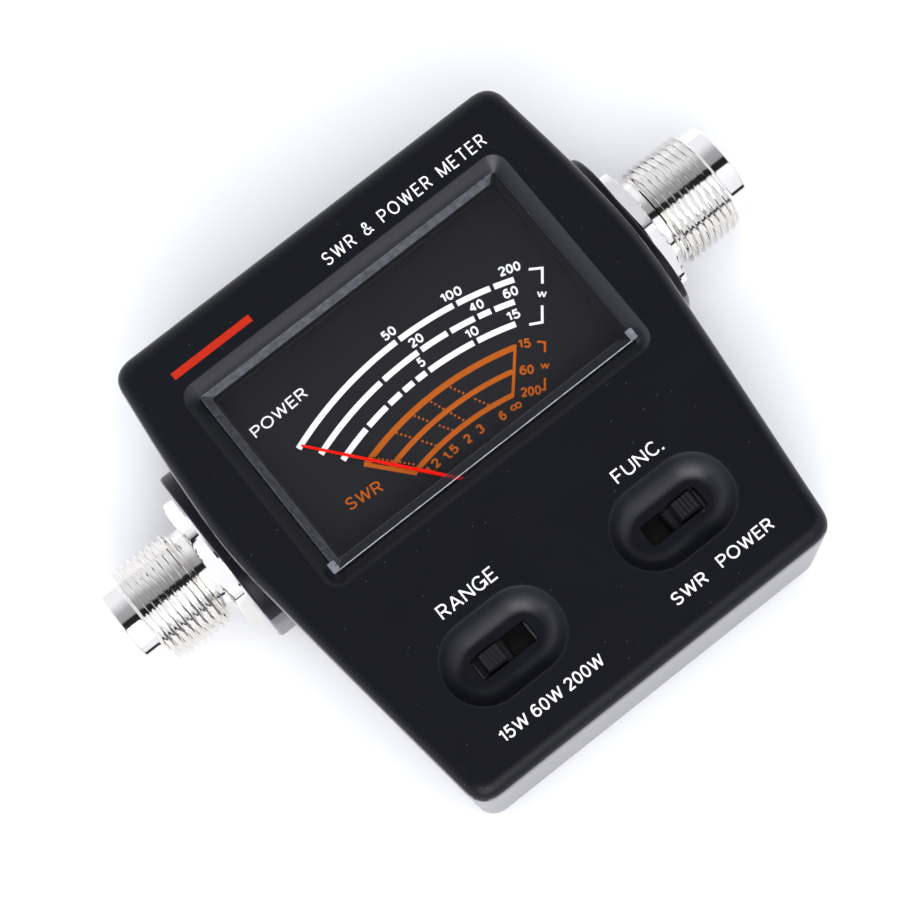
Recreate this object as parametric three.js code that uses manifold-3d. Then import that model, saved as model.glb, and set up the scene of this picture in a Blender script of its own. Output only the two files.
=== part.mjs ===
// Pocket SWR and power meter for radio work, with two UHF sockets, a moving-coil meter
// and two slide switches. Millimetres, +Z out of the face. The origin is midway between
// the rubber feet, on the surface they stand on. +X runs along the sockets and +Y up the
// face.

import * as THREE from 'three';
import { mergeVertices } from 'three/addons/utils/BufferGeometryUtils.js';
import Module from 'manifold-3d';

const wasm = await Module();
wasm.setup();

// ---------------------------------------------------------------- driving dimensions

const GAP = 0.3; // air between pieces that touch on the real meter

// Case: wider in the middle than at its ends, in plan.
const CASE_LENGTH = 78;
const CASE_DEPTH = 30;
const TOP_HALF_WIDTH = 33;
const MIDDLE_HALF_WIDTH = 35.1;
const BOTTOM_HALF_WIDTH = 29.9;
const CORNER_RADIUS = 3.6;
const WALL = 2;
const PARTING_Z = 6; // where the front shell ends
const CASE_DRAFT = 0.7; // how far the walls lean in towards the back
const FACE_FILLET = 2.2;
const BACK_FILLET = 1.5;
const BACK_Z = 0.3; // the rear cover's flat back, just clear of what the feet stand on
const FLOOR_Z = 2; // inside of the rear cover
const FACE_Z = CASE_DEPTH;
const PANEL_UNDERSIDE_Z = FACE_Z - WALL;

// Meter window, its sloped recess and the dial behind it.
const WINDOW_CENTRE_Y = 13;
const WINDOW_OPENING = { width: 51, height: 31 };
const WINDOW_SLOPE = 2; // width and depth of the slope round the window
const LENS_TOP_Z = FACE_Z - 0.5;
const LENS_FLANGE_Z = 26.7;
const DIAL_Z = 24.8;
const DIAL_THICKNESS = 0.5;

// Pointer and moving coil. The rest angle is counted from +Y towards -X.
const PIVOT_Y = -7.4;
const POINTER_LENGTH = 29.2;
const POINTER_REST_ANGLE = THREE.MathUtils.degToRad(39.2);
const POINTER_Z = 26;

// Sockets: 5/8-24 thread, 15.88 mm outside.
const SOCKET_Y = 12.4;
const SOCKET_Z = 15;
const SEAT_X = 36.4;
const INNER_SEAT_X = 31.6; // flat inside the wall that the socket's flange bears on
const SOCKET_TIP_X = 52.6;
const SOCKET_BACK_X = 29.6; // back of the insulator
const PIN_BACK_X = 27.4; // back of the contact's pin
const THREAD_RADIUS = 7.94;
const THREAD_PITCH = 25.4 / 24;
const THREAD_ROOT_RADIUS = 7.3;
const THREAD_TURNS = 9;
const THREAD_START_X = 40.4;
const SOCKET_BORE_RADIUS = 6.1;

// Slide switches, in dished stadium recesses either side of the middle.
const SWITCH_X = 14.35;
const SWITCH_Y = -24;
const DISH = { length: 19, width: 12.5, depth: 2.7, floorLength: 12.8, floorWidth: 6.4 };
const DISH_FLOOR_Z = FACE_Z - DISH.depth;
const SLOT = { length: 9, width: 3.2 };
const KNOB = { length: 3.1, width: 2.6, topZ: 29.2 };
const KNOB_REST_OFFSET = 1.95; // half the switches' 3.9 mm travel

// Boards.
const COUPLER_BOARD_Z = 11.6;
const SWITCH_BOARD_Z = 15.2;
const BOARD_THICKNESS = 1.5;

const SEAT = { length: 26.4, height: 22, corner: 8 }; // pad outside the wall
const INNER_SEAT = { radius: 9.6, thickness: 3 };
const SOCKET_HOLE_RADIUS = 8.1;
const FLANGE_RADIUS = 8.8;
const NUT = { acrossFlats: 19, thickness: 1.9, bore: 8.05, turn: 0.25 };

const CASE_SCREW = { headRadius: 2.2, headZ: 0.7, headHeight: 1.3, shankRadius: 0.95, tipZ: 14 };
const COUNTERBORE = { radius: 2.6, topZ: 2.2, clearance: 1.3 };
const SMALL_SCREW = { headRadius: 1.9, headHeight: 1.2, shankRadius: 0.65 };
const PILOT_RADIUS = { caseScrew: 1.25, smallScrew: 0.95 };
const FRONT_POST_RADIUS = { caseScrew: 2.6, meterScrew: 2.2, boardScrew: 2.4 };
const REAR_POST_RADIUS = { caseScrew: 3.2, boardScrew: 2.4 };

const FOOT = { radius: 3.5, thickness: 0.8, pocketClearance: 0.3 };
const FOOT_PLACES = [[-28, 24], [28, 24], [-24, -25], [24, -25]];
const CASE_SCREW_PLACES = [[-27.5, 33.5], [27.5, 33.5], [-25, -33.5], [25, -33.5]];
const BOARD_SCREW_PLACES = [[-22, 24], [22, 24]];
const METER_SCREW_PLACES = [[-20, -12], [20, -12]];

const ROUND = 28; // sides of a large round
const SMALL_ROUND = 12; // sides of a small round

// ---------------------------------------------------------------- materials

function material(color, roughness, metalness = 0) {
  return new THREE.MeshStandardMaterial({ color, roughness, metalness });
}

const blackAbs = material('#1d1e24', 0.5);
const darkPlastic = material('#141416', 0.6);
const clearAcrylic = material('#dfe6ea', 0.05);
clearAcrylic.transparent = true;
clearAcrylic.opacity = 0.3;
const dialCard = material('#222226', 0.85);
const needleRed = material('#e8261a', 0.5);
const nickel = material('#d5d5d8', 0.15, 1);
const brass = material('#c9a24e', 0.3, 1);
const steel = material('#9a9da3', 0.35, 1);
const magnetSteel = material('#5b5d62', 0.5, 1);
const copperCoil = material('#b5653a', 0.4, 1);
const ptfe = material('#f2f1ec', 0.6);
const glassEpoxy = material('#2f6b3c', 0.55);
const phenolic = material('#7a4a26', 0.7);
const trimmerBlue = material('#2a5fae', 0.5);
const resistorTan = material('#c9b48a', 0.6);
const ceramicDisc = material('#c47a2c', 0.6);
const diodeGlass = material('#d98a5a', 0.2);
const redPvc = material('#b3261e', 0.5);
const blackPvc = material('#1a1a1a', 0.5);
const rubber = material('#222222', 0.9);

// ---------------------------------------------------------------- solids

const swrMeter = new THREE.Group();

function addPart(name, geometry, finish) {
  const mesh = new THREE.Mesh(geometry, finish);
  mesh.name = name;
  swrMeter.add(mesh);
}

function toSolid(geometry) {
  const bare = geometry.clone();
  bare.deleteAttribute('normal');
  bare.deleteAttribute('uv');
  const merged = mergeVertices(bare, 1e-4);
  return new wasm.Manifold(new wasm.Mesh({
    numProp: 3,
    vertProperties: new Float32Array(merged.attributes.position.array),
    triVerts: new Uint32Array(merged.index.array),
  }));
}

function toGeometry(solid) {
  const { vertProperties, triVerts } = solid.getMesh();
  const geometry = new THREE.BufferGeometry();
  geometry.setAttribute('position', new THREE.BufferAttribute(vertProperties, 3));
  geometry.setIndex(new THREE.BufferAttribute(triVerts, 1));
  geometry.computeVertexNormals();
  return geometry;
}

function join(first, ...rest) {
  return toGeometry(rest.reduce((whole, piece) => whole.add(toSolid(piece)), toSolid(first)));
}

function cut(body, ...tools) {
  return toGeometry(tools.reduce((left, tool) => left.subtract(toSolid(tool)), toSolid(body)));
}

// A block from its middle in plan and its lowest and highest Z.
function block(x, y, z0, z1, width, height) {
  return new THREE.BoxGeometry(width, height, z1 - z0).translate(x, y, (z0 + z1) / 2);
}

// An upright round bar.
function rod(x, y, z0, z1, radius, sides = SMALL_ROUND) {
  const geometry = new THREE.CylinderGeometry(radius, radius, z1 - z0, sides);
  return geometry.rotateX(Math.PI / 2).translate(x, y, (z0 + z1) / 2);
}

// An upright ring with a square section.
function ring(x, y, z0, z1, innerRadius, outerRadius, sides = ROUND) {
  const section = [[innerRadius, z0], [outerRadius, z0], [outerRadius, z1], [innerRadius, z1]];
  return lathe(section, sides).rotateX(Math.PI / 2).translate(x, y, 0);
}

// A profile of [radius, height] points turned about the +Y axis, closed on itself.
function lathe(profile, sides) {
  const points = profile.map(([radius, height]) => new THREE.Vector2(radius, height));
  return new THREE.LatheGeometry([...points, points[0].clone()], sides);
}

// The same profile turned about the sockets' axis, with its heights running along X.
function latheAlongX(profile, sides) {
  const turned = lathe(profile, sides).rotateZ(-Math.PI / 2);
  return turned.translate(0, SOCKET_Y, SOCKET_Z);
}

function slab(shape, z0, z1, curveSegments = 8) {
  const options = { depth: z1 - z0, bevelEnabled: false, curveSegments };
  return new THREE.ExtrudeGeometry(shape, options).translate(0, 0, z0);
}

// A solid through a stack of outlines, each { shape, z } with the same number of points.
function stack(levels, curveSegments) {
  const outlines = levels.map(({ shape }) => shape.getPoints(curveSegments).slice(0, -1));
  const count = outlines[0].length;
  const positions = levels.flatMap(({ z }, i) => outlines[i].flatMap((p) => [p.x, p.y, z]));
  const caps = THREE.ShapeUtils.triangulateShape(outlines[0], []);
  const top = (levels.length - 1) * count;
  const index = [];
  for (const [a, b, c] of caps) {
    index.push(a, c, b);
    index.push(top + a, top + b, top + c);
  }
  for (let level = 0; level < levels.length - 1; level += 1) {
    for (let i = 0; i < count; i += 1) {
      const a = level * count + i;
      const b = level * count + ((i + 1) % count);
      index.push(a, b, b + count);
      index.push(a, b + count, a + count);
    }
  }
  const geometry = new THREE.BufferGeometry();
  geometry.setAttribute('position', new THREE.Float32BufferAttribute(positions, 3));
  geometry.setIndex(index);
  return geometry;
}

// ---------------------------------------------------------------- outlines

function roundedRectangle(width, height, radius, x = 0, y = 0) {
  const left = x - width / 2;
  const bottom = y - height / 2;
  const right = left + width;
  const top = bottom + height;
  const shape = new THREE.Shape();
  shape.moveTo(left + radius, bottom);
  shape.lineTo(right - radius, bottom);
  shape.absarc(right - radius, bottom + radius, radius, -Math.PI / 2, 0);
  shape.lineTo(right, top - radius);
  shape.absarc(right - radius, top - radius, radius, 0, Math.PI / 2);
  shape.lineTo(left + radius, top);
  shape.absarc(left + radius, top - radius, radius, Math.PI / 2, Math.PI);
  shape.lineTo(left, bottom + radius);
  shape.absarc(left + radius, bottom + radius, radius, Math.PI, 1.5 * Math.PI);
  return shape;
}

function stadium(length, width, x, y) {
  const radius = width / 2;
  const reach = length / 2 - radius;
  const shape = new THREE.Shape();
  shape.moveTo(x - reach, y - radius);
  shape.lineTo(x + reach, y - radius);
  shape.absarc(x + reach, y, radius, -Math.PI / 2, Math.PI / 2);
  shape.lineTo(x - reach, y + radius);
  shape.absarc(x - reach, y, radius, Math.PI / 2, 1.5 * Math.PI);
  return shape;
}

// The case in plan, moved in all round by an inset.
function caseOutline(inset) {
  const end = CASE_LENGTH / 2 - inset;
  const corner = Math.max(CORNER_RADIUS - inset, 1);
  const side = [
    [BOTTOM_HALF_WIDTH + 0.3, -end + corner],
    [33.8, -5],
    [MIDDLE_HALF_WIDTH, 9],
    [34.6, 22],
    [TOP_HALF_WIDTH + 0.2, end - corner],
  ].map(([x, y]) => [x - inset, y]);
  const bottom = BOTTOM_HALF_WIDTH - inset;
  const top = TOP_HALF_WIDTH - inset;
  const vectors = (points) => points.map(([x, y]) => new THREE.Vector2(x, y));
  const shape = new THREE.Shape();
  shape.moveTo(-bottom + corner, -end);
  shape.lineTo(bottom - corner, -end);
  shape.quadraticCurveTo(bottom, -end, ...side[0]);
  shape.splineThru(vectors(side.slice(1)));
  shape.quadraticCurveTo(top, end, top - corner, end);
  shape.lineTo(-top + corner, end);
  shape.quadraticCurveTo(-top, end, -side[4][0], side[4][1]);
  shape.splineThru(vectors(side.slice(0, 4).reverse().map(([x, y]) => [-x, y])));
  shape.quadraticCurveTo(-bottom, -end, -bottom + corner, -end);
  return shape;
}

// Levels of a quarter-round edge on the case outline, from its wall to its flat.
function caseFillet(inset, radius, wallZ, flatZ, steps = 3) {
  const levels = [];
  for (let i = 0; i <= steps; i += 1) {
    const angle = (i / steps) * (Math.PI / 2);
    levels.push({
      shape: caseOutline(inset + radius * (1 - Math.cos(angle))),
      z: THREE.MathUtils.lerp(wallZ, flatZ, Math.sin(angle)),
    });
  }
  return levels;
}

const CASE_CURVE = 4; // points on each curved stretch of the outline

// ---------------------------------------------------------------- case

// The flat pads that the sockets' nuts seat on, right through the case.
function socketSeats() {
  const { length, height, corner } = SEAT;
  const outline = roundedRectangle(length, height, corner, SOCKET_Y, SOCKET_Z);
  const bar = slab(outline, -SEAT_X, SEAT_X, 6);
  return bar.rotateY(Math.PI / 2).rotateX(Math.PI / 2);
}

// Round pads inside the walls, which the sockets' flanges bear on.
function innerSeats() {
  const { radius, thickness } = INNER_SEAT;
  return [-1, 1].map((side) => {
    const pad = new THREE.CylinderGeometry(radius, radius, thickness, ROUND).rotateZ(Math.PI / 2);
    return pad.translate(side * (INNER_SEAT_X + thickness / 2), SOCKET_Y, SOCKET_Z);
  });
}

function socketHole() {
  const reach = SEAT_X + 1;
  const radius = SOCKET_HOLE_RADIUS;
  const hole = new THREE.CylinderGeometry(radius, radius, 2 * reach, ROUND);
  return hole.rotateZ(Math.PI / 2).translate(0, SOCKET_Y, SOCKET_Z);
}

function windowRecess() {
  const { width, height } = WINDOW_OPENING;
  const level = (grow, z) => ({
    shape: roundedRectangle(width + 2 * grow, height + 2 * grow, 0.4 + grow, 0, WINDOW_CENTRE_Y),
    z,
  });
  const slopeBottom = FACE_Z - WINDOW_SLOPE;
  const levels = [
    level(0, slopeBottom - WALL),
    level(0, slopeBottom + 0.1),
    level(WINDOW_SLOPE + 0.1, FACE_Z + 0.2),
  ];
  return stack(levels, 4);
}

function switchDish(x) {
  const { length, width, floorLength, floorWidth } = DISH;
  const levels = [
    { shape: stadium(floorLength, floorWidth, x, SWITCH_Y), z: DISH_FLOOR_Z },
    { shape: stadium(length - 1, width - 1, x, SWITCH_Y), z: FACE_Z - 0.6 },
    { shape: stadium(length, width, x, SWITCH_Y), z: FACE_Z + 0.1 },
  ];
  return stack(levels, 8);
}

function switchSlot(x) {
  return block(x, SWITCH_Y, DISH_FLOOR_Z - 2 * WALL, FACE_Z, SLOT.length, SLOT.width);
}

function frontShell() {
  const lowest = { shape: caseOutline(CASE_DRAFT), z: PARTING_Z };
  const body = stack(
    [lowest, ...caseFillet(0, FACE_FILLET, FACE_Z - FACE_FILLET, FACE_Z)],
    CASE_CURVE,
  );
  const cavity = stack([
    { shape: caseOutline(CASE_DRAFT + WALL), z: PARTING_Z - 1 },
    { shape: caseOutline(WALL), z: PANEL_UNDERSIDE_Z },
  ], CASE_CURVE);
  const belowParting = block(0, 0, -5, PARTING_Z, 90, 90);
  const hollow = cut(join(body, socketSeats()), cavity);
  const seated = cut(join(hollow, ...innerSeats()), belowParting, socketHole(), windowRecess());
  const pads = [-SWITCH_X, SWITCH_X].map((x) => slab(
    stadium(DISH.length + 2, DISH.width + 2, x, SWITCH_Y),
    DISH_FLOOR_Z - WALL,
    PANEL_UNDERSIDE_Z + 0.5,
  ));
  const postTop = PANEL_UNDERSIDE_Z + 0.5;
  const { caseScrew, meterScrew, boardScrew } = FRONT_POST_RADIUS;
  const posts = [
    ...CASE_SCREW_PLACES.map(([x, y]) => rod(x, y, PARTING_Z, postTop, caseScrew)),
    ...METER_SCREW_PLACES.map(([x, y]) => rod(x, y, DIAL_Z, postTop, meterScrew)),
    rod(0, SWITCH_Y, SWITCH_BOARD_Z + BOARD_THICKNESS + GAP, postTop, boardScrew),
  ];
  const pilot = PILOT_RADIUS;
  const holes = [
    ...CASE_SCREW_PLACES.map(([x, y]) => (
      rod(x, y, PARTING_Z - 1, CASE_SCREW.tipZ + 2, pilot.caseScrew)
    )),
    ...METER_SCREW_PLACES.map(([x, y]) => rod(x, y, DIAL_Z - 1, 27.5, pilot.smallScrew)),
    rod(0, SWITCH_Y, SWITCH_BOARD_Z, 24, pilot.smallScrew),
  ];
  const dishes = [-SWITCH_X, SWITCH_X].flatMap((x) => [switchDish(x), switchSlot(x)]);
  addPart('front_shell', cut(join(seated, ...pads, ...posts), ...holes, ...dishes), blackAbs);
}

function rearCover() {
  const inset = CASE_DRAFT + 0.3;
  const rim = { shape: caseOutline(inset), z: PARTING_Z - GAP };
  const back = caseFillet(inset + 0.2, BACK_FILLET, BACK_Z + BACK_FILLET, BACK_Z).reverse();
  const tray = cut(
    stack([...back, rim], CASE_CURVE),
    stack([
      { shape: caseOutline(inset + WALL + 0.2), z: FLOOR_Z },
      { shape: caseOutline(inset + WALL), z: PARTING_Z + 1 },
    ], CASE_CURVE),
  );
  const { caseScrew, boardScrew } = REAR_POST_RADIUS;
  const posts = [
    ...CASE_SCREW_PLACES.map(([x, y]) => rod(x, y, FLOOR_Z - 0.5, rim.z, caseScrew)),
    ...BOARD_SCREW_PLACES.map(([x, y]) => (
      rod(x, y, FLOOR_Z - 0.5, COUPLER_BOARD_Z - GAP, boardScrew)
    )),
  ];
  const below = -1;
  const { radius, topZ, clearance } = COUNTERBORE;
  const holes = [
    ...CASE_SCREW_PLACES.flatMap(([x, y]) => [
      rod(x, y, below, PARTING_Z + 1, clearance),
      rod(x, y, below, topZ, radius),
    ]),
    ...BOARD_SCREW_PLACES.map(([x, y]) => rod(x, y, 4, COUPLER_BOARD_Z, PILOT_RADIUS.smallScrew)),
  ];
  const pocketRadius = FOOT.radius + FOOT.pocketClearance;
  const pockets = FOOT_PLACES.map(([x, y]) => (
    rod(x, y, below, FOOT.thickness + GAP, pocketRadius, ROUND)
  ));
  addPart('rear_cover', cut(join(tray, ...posts), ...holes, ...pockets), blackAbs);
}

function feet() {
  FOOT_PLACES.forEach(([x, y], i) => {
    addPart(`foot_${i + 1}`, rod(x, y, 0, FOOT.thickness, FOOT.radius), rubber);
  });
}

// A cross-headed screw that points up from its head. Its shank stands for the thread.
function screw(name, [x, y], { headZ, headHeight, headRadius, tipZ, shankRadius }) {
  const head = rod(x, y, headZ, headZ + headHeight, headRadius);
  const shank = rod(x, y, headZ + headHeight - 0.2, tipZ, shankRadius);
  const recess = [[1.9, 0.5], [0.5, 1.9]].map(([width, height]) => (
    block(x, y, headZ - 1, headZ + 0.7 * headHeight, width * headRadius / 2, height * headRadius / 2)
  ));
  addPart(name, cut(join(head, shank), ...recess), steel);
}

function caseScrews() {
  CASE_SCREW_PLACES.forEach((place, i) => {
    screw(`case_screw_${i + 1}`, place, CASE_SCREW);
  });
}

// ---------------------------------------------------------------- meter

function meterWindow() {
  const { width, height } = WINDOW_OPENING;
  const y = WINDOW_CENTRE_Y;
  const edge = 0.2; // side clearance in the panel's opening
  const lensWall = 1.6;
  const flange = slab(roundedRectangle(54, 34, 0.8, 0, y), LENS_FLANGE_Z, LENS_FLANGE_Z + 1);
  const window = roundedRectangle(width - 2 * edge, height - 2 * edge, 0.5, 0, y);
  const raised = slab(window, LENS_FLANGE_Z + 0.5, LENS_TOP_Z, 3);
  const lugs = [-1, 1].map((side) => (
    block(side * (width / 2 - 0.2), y - height / 2 + 1, LENS_TOP_Z - 0.5, LENS_TOP_Z - 0.05, 1.1, 1.6)
  ));
  const hollow = roundedRectangle(width - 2 * lensWall, height - 2 * lensWall, 0.4, 0, y);
  const underside = slab(hollow, LENS_FLANGE_Z - 1, LENS_TOP_Z - 1.2, 3);
  addPart('meter_window', cut(join(flange, raised, ...lugs), underside), clearAcrylic);
}

function dialPlate() {
  const bottom = PIVOT_Y + 2.2;
  const top = 30;
  const top_z = DIAL_Z + DIAL_THICKNESS;
  const sheet = block(0, (bottom + top) / 2, DIAL_Z, top_z, 52, top - bottom);
  const stopRadius = 6.6;
  const stopAngle = THREE.MathUtils.degToRad(49.5);
  const stops = [-1, 1].map((side) => rod(
    side * stopRadius * Math.sin(stopAngle),
    PIVOT_Y + stopRadius * Math.cos(stopAngle),
    DIAL_Z + 0.1,
    POINTER_Z + 0.4,
    0.4,
    8,
  ));
  const clearance = rod(0, PIVOT_Y, DIAL_Z - 1, top_z + 0.1, 4.6, ROUND);
  addPart('dial_plate', join(cut(sheet, clearance), ...stops), dialCard);
}

const FRAME_Z = 19.6;
const YOKE = { inner: 6.6, outer: 8.2, z0: 14.5, z1: 22.5 };

function meterFrame() {
  const top = 30.3;
  const bottom = -16;
  const y = (top + bottom) / 2;
  const floorTop = FRAME_Z + 1.2;
  const rimTop = DIAL_Z - GAP;
  const outside = slab(roundedRectangle(53, top - bottom, 1, 0, y), FRAME_Z, rimTop, 3);
  const inside = roundedRectangle(50.6, top - bottom - 2.4, 0.5, 0, y);
  const tray = cut(outside, slab(inside, floorTop, rimTop + 1, 3));
  const cup = ring(0, PIVOT_Y, YOKE.z0 - 1.5, FRAME_Z + 0.5, YOKE.outer + GAP, YOKE.outer + 1.5);
  const ledge = ring(0, PIVOT_Y, YOKE.z0 - 1.5, YOKE.z0 - GAP, YOKE.outer - 1.2, YOKE.outer + 1);
  const ears = METER_SCREW_PLACES.map(([x, ey]) => rod(x, ey, FRAME_Z, rimTop, 2.4));
  const well = rod(0, PIVOT_Y, FRAME_Z - 0.1, rimTop + 1, YOKE.outer + GAP, ROUND);
  const holes = METER_SCREW_PLACES.map(([x, ey]) => rod(x, ey, FRAME_Z - 1, rimTop + 1, 1.15));
  const solid = cut(join(tray, ...ears), well, ...holes);
  addPart('meter_frame', join(solid, cup, ledge), darkPlastic);
}

function magnetSystem() {
  const { inner, outer, z0, z1 } = YOKE;
  addPart('yoke_ring', ring(0, PIVOT_Y, z0, z1, inner, outer), steel);
  const core = rod(0, PIVOT_Y, z0 + 1, z1 - 1, 3.6, 24);
  const armLength = 2 * (inner - GAP);
  const arms = block(0, PIVOT_Y, 17.5, 19.5, 3, armLength);
  addPart('magnet_core', join(core, arms), magnetSteel);
}

const COIL = { halfWidth: 5.2, halfThickness: 1.1, z0: 14.1, z1: 22.9, wire: 0.9 };

// Turns a piece made square to the dial to where it stands with the pointer at rest.
function atRestAngle(geometry) {
  return geometry.rotateZ(POINTER_REST_ANGLE).translate(0, PIVOT_Y, 0);
}

function movingCoil() {
  const { halfWidth, halfThickness, z0, z1, wire } = COIL;
  const outside = block(0, 0, z0, z1, 2 * halfWidth, 2 * halfThickness);
  const window = block(0, 0, z0 + wire, z1 - wire, 2 * (halfWidth - wire), 3);
  addPart('moving_coil', atRestAngle(cut(outside, window)), copperCoil);
}

function pivotStaffs() {
  addPart('pivot_staff_upper', rod(0, PIVOT_Y, COIL.z1 + GAP, 26.6, 0.45), steel);
  addPart('pivot_staff_lower', rod(0, PIVOT_Y, 13.2, COIL.z0 - GAP, 0.45), steel);
}

function pointer() {
  const blade = new THREE.Shape();
  blade.moveTo(-0.45, 0);
  blade.lineTo(0.45, 0);
  blade.lineTo(0.16, POINTER_LENGTH);
  blade.lineTo(-0.16, POINTER_LENGTH);
  blade.closePath();
  const needle = slab(blade, POINTER_Z, POINTER_Z + 0.25);
  const hub = rod(0, 0, POINTER_Z - 0.2, POINTER_Z + 0.5, 1.6);
  const tail = block(0, -2.6, POINTER_Z, POINTER_Z + 0.3, 1.2, 4);
  const bore = rod(0, 0, POINTER_Z - 1, POINTER_Z + 1, 0.75);
  addPart('pointer', atRestAngle(cut(join(needle, hub, tail), bore)), needleRed);
}

function hairspring(name, z) {
  const turns = 2;
  const perTurn = 14;
  const last = turns * perTurn;
  const points = [];
  for (let i = 0; i <= last; i += 1) {
    const angle = (i / perTurn) * 2 * Math.PI;
    const radius = THREE.MathUtils.lerp(1.1, 3.4, i / last);
    points.push(new THREE.Vector3(radius * Math.cos(angle), radius * Math.sin(angle), 0));
  }
  const strip = new THREE.Shape();
  strip.moveTo(-0.15, -0.1);
  strip.lineTo(0.15, -0.1);
  strip.lineTo(0.15, 0.1);
  strip.lineTo(-0.15, 0.1);
  const spiral = new THREE.ExtrudeGeometry(strip, {
    steps: last,
    extrudePath: new THREE.CatmullRomCurve3(points),
  });
  addPart(name, spiral.translate(0, PIVOT_Y, z), brass);
}

function bridges() {
  const span = 19;
  const upperBar = block(0, PIVOT_Y, 27, 27.6, span, 3.4);
  const posts = [-1, 1].map((side) => (
    rod(side * 9.5, PIVOT_Y, YOKE.z1 + 0.5, 27.3, 0.8)
  ));
  const jewelHole = rod(0, PIVOT_Y, 26, 28, 1.3);
  addPart('upper_bridge', cut(join(upperBar, ...posts), jewelHole), brass);
  const lowerBar = block(0, PIVOT_Y, 11.9, 12.7, span, 3.4);
  addPart('lower_bridge', cut(lowerBar, rod(0, PIVOT_Y, 11, 13, 1.3)), brass);
  addPart('jewel_screw_upper', rod(0, PIVOT_Y, 26.9, 27.7, 1), brass);
  addPart('jewel_screw_lower', rod(0, PIVOT_Y, 11.5, 12.9, 1), brass);
}

function meterScrews() {
  METER_SCREW_PLACES.forEach((place, i) => {
    screw(`meter_screw_${i + 1}`, place, { ...SMALL_SCREW, headZ: FRAME_Z - 1.5, tipZ: 27 });
  });
}

// ---------------------------------------------------------------- sockets

function threadProfile() {
  const points = [];
  for (let turn = 0; turn < THREAD_TURNS; turn += 1) {
    const x = THREAD_START_X + turn * THREAD_PITCH;
    points.push([THREAD_ROOT_RADIUS, x]);
    points.push([THREAD_RADIUS, x + THREAD_PITCH / 2]);
  }
  return points;
}

function socketShell() {
  const collarX = THREAD_START_X + THREAD_TURNS * THREAD_PITCH;
  const flangeX = INNER_SEAT_X - GAP;
  return latheAlongX([
    [SOCKET_BORE_RADIUS, flangeX - 2],
    [FLANGE_RADIUS, flangeX - 2],
    [FLANGE_RADIUS, flangeX],
    [7.7, flangeX],
    [7.7, SEAT_X + 2.2],
    [7, SEAT_X + 2.2],
    [7, THREAD_START_X - 0.2],
    ...threadProfile(),
    [THREAD_ROOT_RADIUS - 0.1, collarX],
    [THREAD_ROOT_RADIUS - 0.1, SOCKET_TIP_X - 0.3],
    [THREAD_ROOT_RADIUS - 0.4, SOCKET_TIP_X],
    [SOCKET_BORE_RADIUS, SOCKET_TIP_X],
  ], ROUND);
}

function socketInsulator() {
  const outer = SOCKET_BORE_RADIUS - GAP;
  const front = SOCKET_TIP_X - 5;
  return latheAlongX([
    [1.3, SOCKET_BACK_X],
    [outer, SOCKET_BACK_X],
    [outer, front],
    [2.9, front],
    [2.9, 35.7],
    [1.3, 35.7],
  ], SMALL_ROUND);
}

function socketContact() {
  const front = SOCKET_TIP_X - 5.4;
  const sleeve = latheAlongX([[2, 38], [2.6, 38], [2.6, front], [2, front]], SMALL_ROUND);
  const base = latheAlongX([[0, 36], [2.6, 36], [2.6, 38.2], [0, 38.2]], SMALL_ROUND);
  const pin = latheAlongX([[0, PIN_BACK_X], [1, PIN_BACK_X], [1, 36.2], [0, 36.2]], SMALL_ROUND);
  return join(sleeve, base, pin);
}

function socketNut() {
  const { acrossFlats, thickness, turn } = NUT;
  const corner = acrossFlats / Math.sqrt(3);
  const start = SEAT_X + GAP;
  const hexagon = new THREE.CylinderGeometry(corner, corner, thickness, 6).rotateY(turn);
  const turned = hexagon.rotateZ(Math.PI / 2);
  const nut = turned.translate(start + thickness / 2, SOCKET_Y, SOCKET_Z);
  const bore = new THREE.CylinderGeometry(NUT.bore, NUT.bore, 4, ROUND).rotateZ(Math.PI / 2);
  return cut(nut, bore.translate(start + thickness / 2, SOCKET_Y, SOCKET_Z));
}

// Turns a right-hand piece half a turn about the face's normal through the sockets' axis.
function toLeft(geometry) {
  return geometry.translate(0, -SOCKET_Y, 0).rotateZ(Math.PI).translate(0, SOCKET_Y, 0);
}

function sockets() {
  const sides = { left: toLeft, right: (geometry) => geometry };
  for (const [side, place] of Object.entries(sides)) {
    addPart(`${side}_socket_shell`, place(socketShell()), nickel);
    addPart(`${side}_socket_insulator`, place(socketInsulator()), ptfe);
    addPart(`${side}_socket_contact`, place(socketContact()), brass);
    addPart(`${side}_socket_nut`, place(socketNut()), nickel);
  }
}

// ---------------------------------------------------------------- coupler and boards

// A body of revolution lying along X with a wire at each end.
function axialComponent(name, x, y, z, bodyRadius, bodyLength, finish) {
  const wire = 0.3;
  const half = bodyLength / 2;
  const reach = half + 2.5;
  const profile = [
    [0, -reach],
    [wire, -reach],
    [wire, -half],
    [bodyRadius, -half],
    [bodyRadius, half],
    [wire, half],
    [wire, reach],
    [0, reach],
  ];
  const component = lathe(profile, 12).rotateZ(-Math.PI / 2);
  addPart(name, component.translate(x, y, z), finish);
}

function throughLine() {
  const reach = PIN_BACK_X - GAP;
  const line = new THREE.CylinderGeometry(1, 1, 2 * reach, SMALL_ROUND).rotateZ(Math.PI / 2);
  addPart('through_line', line.translate(0, SOCKET_Y, SOCKET_Z), brass);
}

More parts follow.
